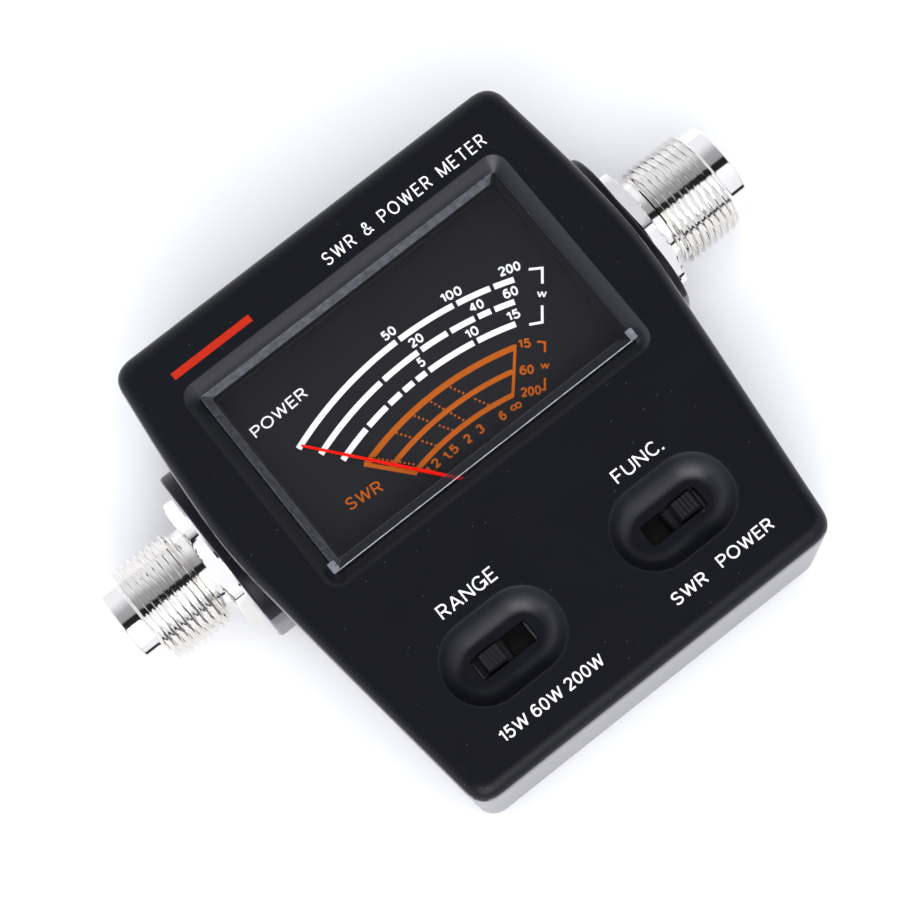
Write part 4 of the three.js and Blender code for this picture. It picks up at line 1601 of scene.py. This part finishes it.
@dataclass(frozen=True)
class MeterWindow:
    """Clear moulded window: a flanged box, hollow behind, with a lug at each lower
    corner."""

    case: CaseSizes = field(default_factory=CaseSizes)
    width: float = 50.6
    height: float = 30.6
    corner: float = 0.5
    top_z: float = 29.5
    bevel: float = 0.1
    rim: float = 1.2
    flange_width: float = 54.0
    flange_height: float = 34.0
    flange_z: float = 26.7
    flange_thickness: float = 1.0
    hollow_width: float = 47.8
    hollow_height: float = 27.8
    hollow_top_z: float = 28.3
    hollow_bevel: float = 0.14
    lug_x: float = 25.3
    lug_y: float = -1.5
    lug_z: tuple[float, float] = (29.0, 29.6)
    lug_share: float = 0.7
    inner_share: float = 0.4
    # The rim numbers are painted highlight, set higher on the sides where light falls.
    # The veil numbers say how much each part hides.
    looks: tuple[RimLook, ...] = (
        RimLook(
            "rim", (0.15, 0.08, 0.3, 0.05), (0.6, 0.5, 0.9, 1.8), (0.3, 0.08, 0.5, 0.0)
        ),
        RimLook(
            "veil", (0.1, 0.1, 0.2, 0.3), (0.5, 0.4, 0.7, 0.8), (0.3, 0.1, 0.5, 0.8)
        ),
    )

    def rows(self) -> np.ndarray:
        """Loops from the hollow's ceiling down its wall, out along the flange, up the
        outside and over the bevel to the top."""
        outer = (self.width, self.height)
        flange = (self.flange_width, self.flange_height)
        hollow = (self.hollow_width, self.hollow_height)
        low, step = self.flange_z, self.flange_z + self.flange_thickness
        levels = [
            (hollow, 0.5, self.hollow_top_z),
            (hollow, self.hollow_bevel, self.hollow_top_z),
            (hollow, 0.0, self.hollow_top_z - self.hollow_bevel),
            (hollow, 0.0, low),
            (flange, 0.0, low),
            (flange, 0.0, step),
            (outer, 0.0, step),
            (outer, 0.0, self.top_z - self.bevel),
            (outer, self.bevel, self.top_z),
            (outer, self.rim, self.top_z),
        ]
        rows = [
            at_height(
                rounded_rectangle(
                    width - 2 * inset,
                    height - 2 * inset,
                    self.corner,
                    0,
                    self.case.window_y,
                ),
                z,
            )
            for (width, height), inset, z in levels
        ]
        return np.stack(rows)

    def mark_rim(self, piece: bpy.types.Object) -> None:
        """Write the rim and veil attributes, which are 0 over the dial.

        The rim attribute is painted highlight: the bevels get the most, along the lower
        edge first. The solid rim above the dial gets a little painted glow, and the one
        below it only hides what is behind.

        Args:
            piece: The finished window.
        """
        tilt = np.abs(per_face(piece, "normal")[:, 2])
        x, y, z = (per_face(piece, "center") / MM).T
        across = x / self.width * 2
        up = (y - self.case.window_y) / self.height * 2
        beside = np.abs(up) < np.abs(across)
        over_dial = np.maximum(np.abs(across), np.abs(up)) < 0.8
        kinds = [over_dial, tilt < 0.3, tilt < 0.95, z > self.top_z - 0.1]
        inner = z < self.hollow_top_z + 0.01
        # The lugs get a painted highlight too.
        lug = (np.abs(x) > self.lug_x - 0.6) & (y < 0) & (z > self.lug_z[0] - 0.6)
        for look in self.looks:
            sides = [
                np.select([beside & (x < 0), beside, up > 0], values[:3], values[3])
                for values in (look.wall, look.bevel, look.flat)
            ]
            share = np.select(kinds, [0, *sides], 0)
            share = np.where(inner, share * self.inner_share, share)
            mark_faces(piece, look.attribute, np.where(lug, self.lug_share, share))

    def build(self) -> None:
        """Make the window with its lugs, and show it."""
        piece = make_object("meter_window_moulding", capped(self.rows()))
        for side in Side:
            loop = rounded_rectangle(1.1, 1.6, 0.2, side.value * self.lug_x, self.lug_y)
            lug = capped(np.stack([at_height(loop, z) for z in self.lug_z]))
            combine(piece, lug, Joining.ADD)
        shade(piece, 20)
        self.mark_rim(piece)
        place_piece(piece, WINDOW_ACRYLIC, ["meter_window"])


@dataclass(frozen=True)
class Scale:
    """One printed arc: its radius, how far to each side it reaches and where along X it
    is broken."""

    radius: float
    half_chord: float
    breaks: tuple[float, ...] = ()
    stroke: float = 0.84
    left_extra: float = 0.5


@dataclass(frozen=True)
class Dial:
    """Printed scales over the charcoal sheet: three white power scales, three orange
    standing-wave scales, and their numbers."""

    ink_z: float = 25.3
    ink_thickness: float = 0.02
    arc_centre_y: float = -35.0
    gap: float = 0.55
    dot: float = 0.28
    dot_step: float = 0.6
    end_bar_drop: float = 0.004
    bracket: float = 0.3
    white: tuple[Scale, ...] = (
        Scale(53.75, 18.45, (0.79, 10.0, 15.4)),
        Scale(50.75, 16.56, (-4.34, 2.22, 6.96, 11.12, 13.5)),
        Scale(47.75, 14.72, (-9.88, -5.81, -3.15, -0.87, 1.3, 8.94)),
    )
    orange: tuple[Scale, ...] = (
        Scale(44.75, 12.65),
        Scale(41.75, 10.27, stroke=0.72),
        Scale(38.75, 8.25, stroke=0.72),
    )
    white_numbers: tuple[Label, ...] = (
        Label("50", 0.45, 20.35, 2.1, 1.4, stroke=0.27),
        Label("100", 10.45, 19.3, 3.1, 1.4, -12, stroke=0.27),
        Label("200", 18.9, 17.1, 3.1, 1.4, -19, stroke=0.27),
        Label("20", 2.75, 17.2, 2.1, 1.4, -3, stroke=0.27),
        Label("40", 12.15, 15.85, 2.1, 1.4, -14, stroke=0.27),
        Label("60", 16.95, 14.4, 2.1, 1.4, -18, stroke=0.27),
        Label("5", 1.4, 14.35, 0.95, 1.4, -2, stroke=0.27),
        Label("10", 9.35, 13.3, 1.9, 1.4, -11, stroke=0.27),
        Label("15", 15.25, 11.65, 1.9, 1.4, -18, stroke=0.27),
        Label("W", 20.1, 11.45, 1.35, 0.95, -39, stroke=0.2),
        Label("POWER", -18.0, 21.0, 9.2, 1.7, 2, stroke=0.24),
    )
    orange_numbers: tuple[Label, ...] = (
        Label("1.2", -6.3, 1.9, 2.3, 1.35, 9, stroke=0.27),
        Label("1.5", -3.2, 1.95, 2.3, 1.35, 5, stroke=0.27),
        Label("2", -0.25, 1.95, 0.95, 1.35, stroke=0.27),
        Label("3", 1.9, 1.95, 0.95, 1.35, -3, stroke=0.27),
        Label("6", 5.4, 1.5, 0.95, 1.35, -8, stroke=0.27),
        Label("8", 7.6, 1.35, 0.95, 1.7, 80, stroke=0.25),
        Label("15", 13.95, 7.55, 1.8, 1.35, -32, stroke=0.27),
        Label("60", 11.9, 4.45, 1.95, 1.35, -32, stroke=0.27),
        Label("200", 10.5, 1.75, 2.8, 1.35, -30, stroke=0.27),
        Label("W", 14.15, 3.3, 1.25, 0.9, -39, stroke=0.2),
        Label("SWR", -16.0, 4.6, 5.4, 1.75, -7, stroke=0.24),
    )
    dotted: tuple[tuple[tuple[float, float], tuple[float, float]], ...] = (
        ((2.37, 9.01), (4.8, 3.91)),
        ((-0.94, 9.06), (0.87, 4.37)),
        ((-3.88, 8.96), (-1.17, 4.21)),
        ((-7.23, 8.61), (-4.21, 3.95)),
        ((-11.76, 7.8), (-8.14, 3.79)),
    )

    @property
    def top(self) -> float:
        """Top of the ink."""
        return self.ink_z + self.ink_thickness

    def scale(self, scale: Scale) -> Surface:
        """Print one arc, broken where its scale says.

        Args:
            scale: The arc.

        Returns:
            Its stretches, each a strip carried along the arc.
        """
        left = -scale.half_chord - scale.left_extra
        marks = np.array([left, *scale.breaks, scale.half_chord])
        angles = np.arcsin(marks / scale.radius)
        trim = self.gap / scale.radius / 2
        starts, ends = angles[:-1].copy(), angles[1:].copy()
        starts[1:] += trim
        ends[:-1] -= trim
        printed = Surface()
        for start, end in zip(starts, ends, strict=True):
            steps = max(3, int((end - start) * 60))
            path = arc_points(self.arc_centre_y, scale.radius, start, end, steps)
            printed += strip(path, scale.stroke, self.ink_z, self.top)
        return printed

    def line(self, *places: Sequence[float], width: float = 0.36) -> Surface:
        """Print a thin line through some places."""
        return strip(np.array(places), width, self.ink_z, self.top)

    def chord_end(self, scale: Scale, sign: int) -> tuple[float, float]:
        """Where a scale's middle line ends, on one side."""
        reach = scale.half_chord + (scale.left_extra if sign < 0 else 0)
        height = self.arc_centre_y + math.sqrt(scale.radius**2 - reach**2)
        return sign * reach, height

    def dots(self, start: tuple[float, float], end: tuple[float, float]) -> Surface:
        """Square dots from one orange arc to another, clear of the one between.

        Args:
            start: Middle of the first dot.
            end: Middle of the last dot.

        Returns:
            The dots.
        """
        first, last = np.array(start), np.array(end)
        length = np.linalg.norm(last - first)
        along = (last - first) / length
        steps = np.linspace(0, length, 1 + round(length / self.dot_step))
        places = first + steps[:, None] * along
        radii = np.hypot(places[:, 0], places[:, 1] - self.arc_centre_y)
        printed = Surface()
        for place in places[np.abs(radii - self.orange[1].radius) > 0.5]:
            half = self.dot / 2 * along
            printed += self.line(place - half, place + half, width=self.dot)
        return printed

    def white_print(self) -> Surface:
        """Everything printed white on the dial."""
        printed = Surface()
        for scale in self.white:
            printed += self.scale(scale)
        for label in self.white_numbers:
            printed += label.surface(self.ink_z, self.top)
        printed += self.line((20.9, 15.35), (22.46, 14.34), (21.1, 12.6))
        printed += self.line((19.15, 10.2), (17.69, 8.33), (16.1, 9.2))
        return printed

    def orange_print(self) -> Surface:
        """Everything printed orange on the dial."""
        printed = Surface()
        for scale in self.orange:
            printed += self.scale(scale)
        for label in self.orange_numbers:
            printed += label.surface(self.ink_z, self.top)
        outer, inner = self.orange[0], self.orange[-1]
        for sign, width in ((-1, 0.6), (1, 0.4)):
            ends = np.array([self.chord_end(outer, sign), self.chord_end(inner, sign)])
            spare = (ends[1] - ends[0]) * 0.05
            ends += [-spare, spare]
            printed += strip(ends, width, self.ink_z, self.top - self.end_bar_drop)
        for start, end in self.dotted:
            printed += self.dots(start, end)
        upper = [(15.45, 6.65), (16.22, 5.9), (15.35, 4.81)]
        lower = [(13.1, 2.0), (12.1, 0.72), (11.75, 1.0)]
        printed += self.line(*upper, width=self.bracket)
        printed += self.line(*lower, width=self.bracket)
        return printed

    def build(self) -> None:
        """Print the dial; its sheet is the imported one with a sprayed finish."""
        white = make_object("dial_print_white", self.white_print())
        place_piece(white, WHITE_INK)
        orange = make_object("dial_print_orange", self.orange_print())
        place_piece(orange, ORANGE_INK)


@dataclass(frozen=True)
class Pointer:
    """Red needle on its hub, standing at rest against the left stop."""

    pivot_y: float = -7.4
    rest_degrees: float = 39.2
    length: float = 29.2
    z: float = 26.0
    thickness: float = 0.25
    root_half_width: float = 0.3
    tip_half_width: float = 0.19
    tail: float = 4.6
    hub_radius: float = 1.6
    hub_edge: float = 0.15
    bore_radius: float = 0.75

    def blade(self) -> Surface:
        """Tapered blade: a rounded six-sided section carried along +Y, whose width
        falls evenly from root to tip."""
        y = np.append(np.linspace(-self.tail, self.length - 0.2, 14), self.length)
        share = np.clip(y / self.length, 0, 1)
        half = self.root_half_width + share * (
            self.tip_half_width - self.root_half_width
        )
        half[-1] *= 0.4
        across = np.array([-1, -0.7, 0.7, 1, 0.7, -0.7])
        up = np.array([0.5, 1, 1, 0.5, 0, 0]) * self.thickness
        rows = np.stack(
            [
                half[:, None] * across,
                np.broadcast_to(y[:, None], (len(y), 6)),
                np.broadcast_to(self.z + up, (len(y), 6)),
            ],
            axis=-1,
        )
        return capped(rows)

    def build(self) -> None:
        """Make the needle with its hub and bore, and hang it on the pointer's body."""
        piece = make_object("pointer_needle", self.blade())
        hub = [
            (self.hub_radius - self.hub_edge, self.z - 0.2),
            (self.hub_radius, self.z),
            (self.hub_radius, self.z + 0.35),
            (self.hub_radius - self.hub_edge, self.z + 0.5),
        ]
        combine(piece, upright(hub, 0, 0, 32), Joining.ADD)
        ends = [(self.bore_radius, self.z - 1), (self.bore_radius, self.z + 1)]
        bore = upright(ends, 0, 0, 24)
        combine(piece, bore, Joining.CUT)
        turn = Matrix.Rotation(math.radians(self.rest_degrees), 4, "Z")
        shift = Matrix.Translation((0, self.pivot_y * MM, 0))
        piece.data.transform(shift @ turn)
        shade(piece)
        place_piece(piece, NEEDLE_ENAMEL, ["pointer"], Body.POINTER)


# ---------------------------------------------------------------- sockets


@dataclass(frozen=True)
class Socket:
    """Coaxial socket with a 5/8-24 threaded shell, a hexagon nut, a fluoroplastic
    insulator and a slotted contact. It is worked out along +X and turned to its side.
    """

    side: Side
    case: CaseSizes = field(default_factory=CaseSizes)
    bore: float = 6.1
    root: float = 7.3
    crest: float = 7.94
    pitch: float = 25.4 / 24
    thread_start: float = 40.4
    thread_end: float = 49.93
    tip: float = 52.6
    nut_flats: float = 9.5
    nut_face: float = 9.55
    nut_bore: float = 8.05
    nut_x: tuple[float, float] = (0.3, 2.2)
    nut_turn: float = 0.25
    cone_degrees: float = 22.0
    around: int = 120

    def ring(
        self, x: np.ndarray, radius: np.ndarray, closed: bool, phase: float = 0
    ) -> Surface:
        """Skin of revolution about the socket's axis.

        The point at a row and an angle lies at that row's distance along X and at its
        radius, which may also change with the angle.

        Args:
            x: Distances along the axis, one to a row.
            radius: Radii, one to a row or shaped (rows, around).
            closed: True where the last row joins the first.
            phase: Angle of the first point.

        Returns:
            The surface on this socket's side.
        """
        count = self.around if radius.ndim == 1 else radius.shape[1]
        angles = phase + np.arange(count) * (2 * math.pi / count)
        spread = np.broadcast_to(
            radius[:, None] if radius.ndim == 1 else radius, (len(x), count)
        )
        rows = np.stack(
            [
                np.broadcast_to(x[:, None], spread.shape),
                spread * np.cos(angles),
                self.case.socket_z + spread * np.sin(angles),
            ],
            axis=-1,
        )
        made = skin(rows, closed_rows=True) if closed else capped(rows)
        half_turn = math.pi if self.side is Side.LEFT else 0.0
        return made.turned(half_turn).moved(0, self.case.socket_y, 0)

    def shell(self) -> Surface:
        """Threaded shell in one ring-shaped skin.

        Its radius is the profile's, plus over the threaded length a wave of rounded
        ridges: height times a clipped triangle wave of (x / pitch - angle / full turn),
        which winds one pitch per turn and fades out over the last half turn.
        """
        thread = np.linspace(self.thread_start, self.thread_end, 126)
        before = [
            (self.bore, 29.3),
            (8.8, 29.3),
            (8.8, 31.3),
            (7.7, 31.3),
            (7.7, 38.4),
            (7.5, 38.6),
            (7.15, 38.6),
            (7.0, 38.75),
            (7.0, 40.05),
            (7.1, 40.2),
        ]
        after = [
            (self.root - 0.1, 50.15),
            (self.root - 0.05, 52.25),
            (self.root - 0.15, 52.45),
            (self.root - 0.3, self.tip),
            (self.bore + 0.25, self.tip),
            (self.bore, self.tip - 0.25),
            (self.bore, 47.0),
        ]
        (inner, inner_x), (outer, outer_x) = np.array(before).T, np.array(after).T
        x = np.concatenate([inner_x, thread, outer_x])
        base = np.concatenate([inner, np.full(len(thread), self.root), outer])
        angles = np.arange(self.around) / self.around
        cycle = np.mod(x[:, None] / self.pitch - angles, 1)
        triangle = 1 - np.abs(2 * cycle - 1)
        ridge = np.clip(triangle * 1.25 - 0.12, 0, 1)
        inside = (x >= self.thread_start) & (x <= self.thread_end)
        near = np.minimum(x - self.thread_start, self.thread_end - x)
        fade = np.where(inside, np.clip(near / (0.5 * self.pitch), 0, 1), 0)
        radius = base[:, None] + (self.crest - self.root) * ridge * fade[:, None]
        return self.ring(x, radius, closed=True)

    def nut(self) -> Surface:
        """Hexagon nut with a cone turned on its outer face.

        Its radius at an angle is half the flats' distance over the cosine of the angle
        from the nearest flat's middle, and no more than the cone's radius there.
        """
        angles = np.linspace(0, 2 * math.pi, 180, endpoint=False)
        from_flat = np.mod(angles + self.nut_turn, math.pi / 3) - math.pi / 6
        hexagon = self.nut_flats / np.cos(from_flat)
        start, end = (self.case.seat_x + reach for reach in self.nut_x)
        face, bore, edge = self.nut_face, self.nut_bore, 0.3
        slope = math.tan(math.radians(self.cone_degrees))
        cone = [(face + drop / slope, end - drop) for drop in (0.45, 0.3, 0.15)]
        profile = [(bore, start), (10.6, start), *cone]
        profile += [(face, end), (bore + edge, end), (bore, end - edge)]
        radius, x = np.array(profile).T
        return self.ring(x, np.minimum(radius[:, None], hexagon), closed=True)

    def insulator(self) -> Surface:
        """Insulator with a raised collar round the contact, rounded at its edges."""
        profile = [
            (1.3, 29.6),
            (5.6, 29.6),
            (5.8, 29.8),
            (5.8, 47.35),
            (5.55, 47.6),
            (3.1, 47.6),
            (2.9, 47.4),
            (2.9, 35.7),
            (1.3, 35.7),
        ]
        radius, x = np.array(profile).T
        return self.ring(x, radius, closed=True)

    def contact(self) -> Surface:
        """Spring contact: a sleeve with a rounded mouth on a solid pin."""
        profile = [
            (0.25, 40.0),
            (2.0, 40.2),
            (2.0, 46.9),
            (2.15, 47.15),
            (2.4, 47.2),
            (2.6, 47.0),
            (2.6, 36.0),
            (1.0, 36.0),
            (1.0, 27.6),
            (0.7, 27.4),
        ]
        radius, x = np.array(profile).T
        return self.ring(x, radius, closed=False)

    def build(self) -> None:
        """Make the four pieces of the socket."""
        side = self.side.name.lower()
        made = {
            "shell": (self.shell(), NICKEL, "nickel_plate"),
            "nut": (self.nut(), NICKEL, "nickel_plate"),
            "insulator": (self.insulator(), PTFE, "ptfe"),
            "contact": (self.contact(), BRASS, "brass"),
        }
        for part, (surface, finish, slot) in made.items():
            piece = make_object(f"{side}_socket_{part}_turned", surface)
            shade(piece, 40)
            place_piece(piece, finish, [f"{side}_socket_{part}"])


# ---------------------------------------------------------------- switches


@dataclass(frozen=True)
class SlideKnob:
    """Ribbed knob on its carriage, in the slot of a slide switch."""

    body: Body
    name: str
    x: float
    case: CaseSizes = field(default_factory=CaseSizes)
    length: float = 3.1
    width: float = 2.6
    top_z: float = 29.2
    ribs: int = 5
    rib_depth: float = 0.6
    stem_z: float = 23.9
    carriage_length: float = 5.6
    carriage_width: float = 5.0
    carriage_z: tuple[float, float] = (21.4, 24.1)
    carriage_edge: float = 0.3

    def knob(self) -> Surface:
        """Stem with a ribbed top: a side view carried across Y.

        Along its top the side view is a row of rounded ribs, whose height is a clipped
        cosine, and the two end sections are drawn in to round the edges.
        """
        x = np.linspace(-0.5, 0.5, 61)
        ridge = np.clip(2 * np.cos(2 * math.pi * self.ribs * x + math.pi) - 0.6, 0, 1)
        end = np.clip((0.5 - np.abs(x)) * 24, 0, 1)
        top = self.top_z - self.rib_depth * (1 - ridge * end)
        across = x * self.length
        foot = [(self.length / 2, self.stem_z), (-self.length / 2, self.stem_z)]
        side = np.vstack([np.column_stack([across, top]), foot])
        middle = np.array([0, 25.0])
        rows = []
        for place, shrink in ((-1, 0.94), (-0.93, 1), (0.93, 1), (1, 0.94)):
            section = middle + (side - middle) * shrink
            y = np.full(len(section), place * self.width / 2)
            rows.append(np.column_stack([section[:, 0], y, section[:, 1]]))
        return capped(np.stack(rows)).moved(self.x, self.case.switch_y, 0)

    def build(self) -> None:
        """Make the knob and its carriage, and hang them on the slider's body."""
        piece = make_object(f"{self.name}_switch_knob", self.knob())
        (low, high), edge = self.carriage_z, self.carriage_edge
        levels = [(edge, low), (0, low + edge), (0, high - edge), (edge, high)]
        rows = [
            at_height(
                rounded_rectangle(
                    self.carriage_length - 2 * inset,
                    self.carriage_width - 2 * inset,
                    0.4,
                    self.x,
                    self.case.switch_y,
                ),
                z,
            )
            for inset, z in levels
        ]
        combine(piece, capped(np.stack(rows)), Joining.ADD)
        shade(piece)
        node = f"{self.name}_switch_slider"
        place_piece(piece, BLACK_NYLON, [node], self.body)


# ---------------------------------------------------------------- print on the case


@dataclass(frozen=True)
class PanelPrint:
    """White function words on the case's face, and a plain red line."""

    case: CaseSizes = field(default_factory=CaseSizes)
    ink_thickness: float = 0.02
    labels: tuple[Label, ...] = (
        Label("SWR & POWER METER", 13.2, 32.65, 27.6, 1.95, 0, 0.22, 0.4),
        Label("RANGE", -13.7, -15.4, 9.3, 2.05, stroke=0.25),
        Label("FUNC.", 15.0, -15.6, 8.0, 2.0, stroke=0.25),
        Label("15W", -19.9, -33.3, 4.5, 1.8),
        Label("60W", -14.4, -33.3, 4.9, 1.8),
        Label("200W", -8.2, -33.3, 6.1, 1.8),
        Label("SWR", 9.5, -33.3, 5.5, 1.8),
        Label("POWER", 19.05, -33.1, 8.9, 1.8),
    )
    red_line: tuple[float, float, float, float] = (-26.4, -13.2, 32.7, 1.1)

    def build(self) -> None:
        """Print the words and the line."""
        face = self.case.depth
        top = face + self.ink_thickness
        printed = Surface()
        for label in self.labels:
            printed += label.surface(face, top)
        words = make_object("panel_print_white", printed)
        place_piece(words, WHITE_INK)
        start, end, y, width = self.red_line
        path = np.array([(start, y), (end, y)])
        line = make_object("panel_line_red", strip(path, width, face, top))
        place_piece(line, RED_INK)


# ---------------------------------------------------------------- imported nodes


@dataclass(frozen=True)
class Internals:
    """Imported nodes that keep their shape, and the finish that each one gets."""

    finishes: tuple[tuple[str, Finish], ...] = (
        ("dial_plate", DIAL_PAINT),
        ("meter_frame", BLACK_NYLON),
        ("magnet_core", MAGNET),
        ("yoke_ring", STEEL),
        ("moving_coil", COIL_WIRE),
        ("pivot_staff", STEEL),
        ("hairspring", BRASS),
        ("upper_bridge", BRASS),
        ("lower_bridge", BRASS),
        ("jewel_screw", BRASS),
        ("meter_screw", STEEL),
        ("board_screw", STEEL),
        ("switch_board_screw", STEEL),
        ("through_line", BRASS),
        ("coupler_board", GLASS_EPOXY),
        ("switch_board", GLASS_EPOXY),
        ("diode", DIODE_GLASS),
        ("load_resistor", RESISTOR_TAN),
        ("capacitor", CERAMIC),
        ("trimmer", TRIMMER_BLUE),
        ("range_switch_frame", STEEL),
        ("function_switch_frame", STEEL),
        ("range_switch_base", PHENOLIC),
        ("function_switch_base", PHENOLIC),
        ("forward_lead", RED_PVC),
        ("reflected_lead", BLACK_PVC),
        ("meter_lead_positive", RED_PVC),
        ("meter_lead_negative", BLACK_PVC),
    )

    def finish_of(self, node: str) -> Finish | None:
        """The finish with the longest name that the node's name starts with."""
        fitting = [pair for pair in self.finishes if node.startswith(pair[0])]
        return max(fitting, key=lambda pair: len(pair[0]))[1] if fitting else None

    def build(self) -> None:
        """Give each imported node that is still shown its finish."""
        for name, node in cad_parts.items():
            finish = self.finish_of(name)
            if finish:
                for slot in node.material_slots:
                    slot.material = finish.material()
                LOG.info("%s: %s", name, finish.name)


# ---------------------------------------------------------------- studio


@dataclass(frozen=True)
class SoftBox:
    """Square lamp aimed at the object, in metres and watts."""

    name: str
    place: tuple[float, float, float]
    size: float
    power: float
    in_reflections: bool = True
    aim: tuple[float, float, float] = (0.0, 0.0, 0.015)

    def build(self) -> None:
        """Make the lamp, facing the meter's middle."""
        light = bpy.data.lights.new(self.name, "AREA")
        light.shape = "SQUARE"
        light.size = self.size
        light.energy = self.power
        lamp = bpy.data.objects.new(self.name, light)
        lamp.location = self.place
        beam = Vector(self.aim) - Vector(self.place)
        lamp.rotation_euler = beam.to_track_quat("-Z", "Y").to_euler()
        lamp.visible_glossy = self.in_reflections
        bpy.context.scene.collection.objects.link(lamp)


@dataclass(frozen=True)
class Studio:
    """White floor, a pale surround with dark strips that the nickel mirrors, soft lamps
    and the camera. A pair of numbers is where a change starts and ends."""

    camera_place: tuple[float, float, float] = (-0.0370, -0.08435, 0.4198)
    towards_camera: tuple[float, float, float] = (-0.095, -0.21, 1.0)
    roll_degrees: float = 39.174
    aim_slope: tuple[float, float] = (-0.01259, 0.0016)
    focal_mm: float = 120.1
    room_colour: str = "#f4f6fe"
    room_brightness: float = 1.15
    dark: float = 0.02
    overhead_stops: tuple[tuple[float, float], ...] = (
        (0.0, 1.15),
        (0.40, 1.3),
        (0.425, 0.02),
        (0.54, 0.02),
        (0.565, 0.4),
        (0.72, 0.5),
        (0.9, 1.15),
        (1.0, 1.15),
    )
    overhead_from: tuple[float, float] = (0.3, 0.6)
    gap_height: float = 0.095
    gap_edge: tuple[float, float] = (0.05, 0.07)
    gap_side: tuple[float, float] = (-0.5, -0.3)
    boxes: tuple[SoftBox, ...] = (
        SoftBox("key_box", (-0.4, -0.7, 0.85), 0.9, 6),
        SoftBox("top_box", (-0.1, -0.1, 1.3), 0.8, 6, in_reflections=False),
    )

    def floor(self) -> None:
        """Lay a plain pale floor under the meter."""
        loop = circle(1500, 0, 0, 64)
        rows = np.stack([at_height(loop, 0), at_height(loop, -2)])
        piece = make_object("studio_floor", capped(rows))
        paper = MouldedPlastic(
            "pale_studio_paper", "#fcfcfd", "#fafafb", roughness=0.9, specular=0.1
        )
        paper.put_on(piece)

    def surround(self) -> None:
        """Pale room with a dark strip overhead along X, a dimmer ceiling beyond it and a
        dark gap low in front, so that metal shows dark lines.

        Brightness follows a ramp over how far a direction leans towards +Y, which holds
        above the horizon; the gap is a band of heights on the near side.
        """
        world = bpy.data.worlds.new("studio_surround")
        world.use_nodes = True
        tree = world.node_tree
        tree.nodes.clear()
        direction = add_node(tree, "ShaderNodeTexCoord").outputs["Generated"]
        split = add_node(tree, "ShaderNodeSeparateXYZ", {"Vector": direction})
        lean = add_node(
            tree,
            "ShaderNodeMapRange",
            {"Value": split.outputs["Y"], "From Min": -1.0, "From Max": 1.0},
        )
        overhead = add_node(tree, "ShaderNodeValToRGB", {0: lean.outputs["Result"]})
        stops = overhead.color_ramp.elements
        for place, _ in self.overhead_stops[1:-1]:
            stops.new(place)
        for stop, (_, brightness) in zip(stops, self.overhead_stops, strict=True):
            stop.color = (brightness, brightness, brightness, 1)
        raised = add_node(
            tree,
            "ShaderNodeMapRange",
            {
                "Value": split.outputs["Z"],
                "From Min": self.overhead_from[0],
                "From Max": self.overhead_from[1],
            },
        )
        ceiling = add_node(
            tree,
            "ShaderNodeMix",
            {
                "Factor": raised.outputs["Result"],
                "A": self.room_brightness,
                "B": overhead.outputs["Color"],
            },
        )
        from_gap = add_node(
            tree,
            "ShaderNodeMath",
            {0: split.outputs["Z"], 1: self.gap_height},
            operation="SUBTRACT",
        )
        distance = add_node(
            tree, "ShaderNodeMath", {0: from_gap.outputs["Value"]}, operation="ABSOLUTE"
        )
        gap = add_node(
            tree,
            "ShaderNodeMapRange",
            {
                "Value": distance.outputs["Value"],
                "From Min": self.gap_edge[0],
                "From Max": self.gap_edge[1],
                "To Min": self.dark,
                "To Max": 1.0,
            },
        )
        near_side = add_node(
            tree,
            "ShaderNodeMapRange",
            {
                "Value": split.outputs["Y"],
                "From Min": self.gap_side[0],
                "From Max": self.gap_side[1],
                "To Min": 1.0,
                "To Max": 0.0,
            },
        )
        gap_there = add_node(
            tree,
            "ShaderNodeMix",
            {
                "Factor": near_side.outputs["Result"],
                "A": 1.0,
                "B": gap.outputs["Result"],
            },
        )
        strength = add_node(
            tree,
            "ShaderNodeMath",
            {0: ceiling.outputs["Result"], 1: gap_there.outputs["Result"]},
            operation="MULTIPLY",
        )
        light = add_node(
            tree,
            "ShaderNodeBackground",
            {
                "Color": linear(self.room_colour),
                "Strength": strength.outputs["Value"],
            },
        )
        background = light.outputs["Background"]
        add_node(tree, "ShaderNodeOutputWorld", {"Surface": background})
        bpy.context.scene.world = world

    def camera(self) -> None:
        """Set up the camera: it looks back along towards_camera, rolled about that
        line, and its axis is tipped by the aim slopes to the middle of the view."""
        back = Vector(self.towards_camera).normalized()
        level = Vector((0, 1, 0)).cross(back).normalized()
        rise = back.cross(level)
        roll = math.radians(self.roll_degrees)
        right = math.cos(roll) * level - math.sin(roll) * rise
        up = math.sin(roll) * level + math.cos(roll) * rise
        axis = -back + self.aim_slope[0] * right + self.aim_slope[1] * up
        axis.normalize()
        right = (right - right.dot(axis) * axis).normalized()
        up = right.cross(axis)
        data = bpy.data.cameras.new("studio_camera")
        data.lens = self.focal_mm
        data.sensor_width = 36
        data.clip_start = 0.01
        camera = bpy.data.objects.new("studio_camera", data)
        turn = Matrix((right, up, -axis)).transposed().to_4x4()
        camera.matrix_world = Matrix.Translation(self.camera_place) @ turn
        bpy.context.scene.collection.objects.link(camera)
        bpy.context.scene.camera = camera

    def build(self) -> None:
        """Build the whole studio."""
        self.floor()
        self.surround()
        for box in self.boxes:
            box.build()
        self.camera()
        bpy.context.scene.view_settings.view_transform = "Standard"


def main() -> None:
    """Build every sub-assembly in order."""
    logging.basicConfig(level=logging.INFO, format="%(message)s")
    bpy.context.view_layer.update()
    Studio().build()
    FrontShell().build()
    RearCover().build()
    Feet().build()
    CaseScrews().build()
    MeterWindow().build()
    Dial().build()
    Pointer().build()
    for side in Side:
        Socket(side).build()
    SlideKnob(Body.RANGE_SLIDER, "range", -16.3).build()
    SlideKnob(Body.FUNCTION_SLIDER, "function", 16.3).build()
    PanelPrint().build()
    Internals().build()


if __name__ == "__main__":
    main()
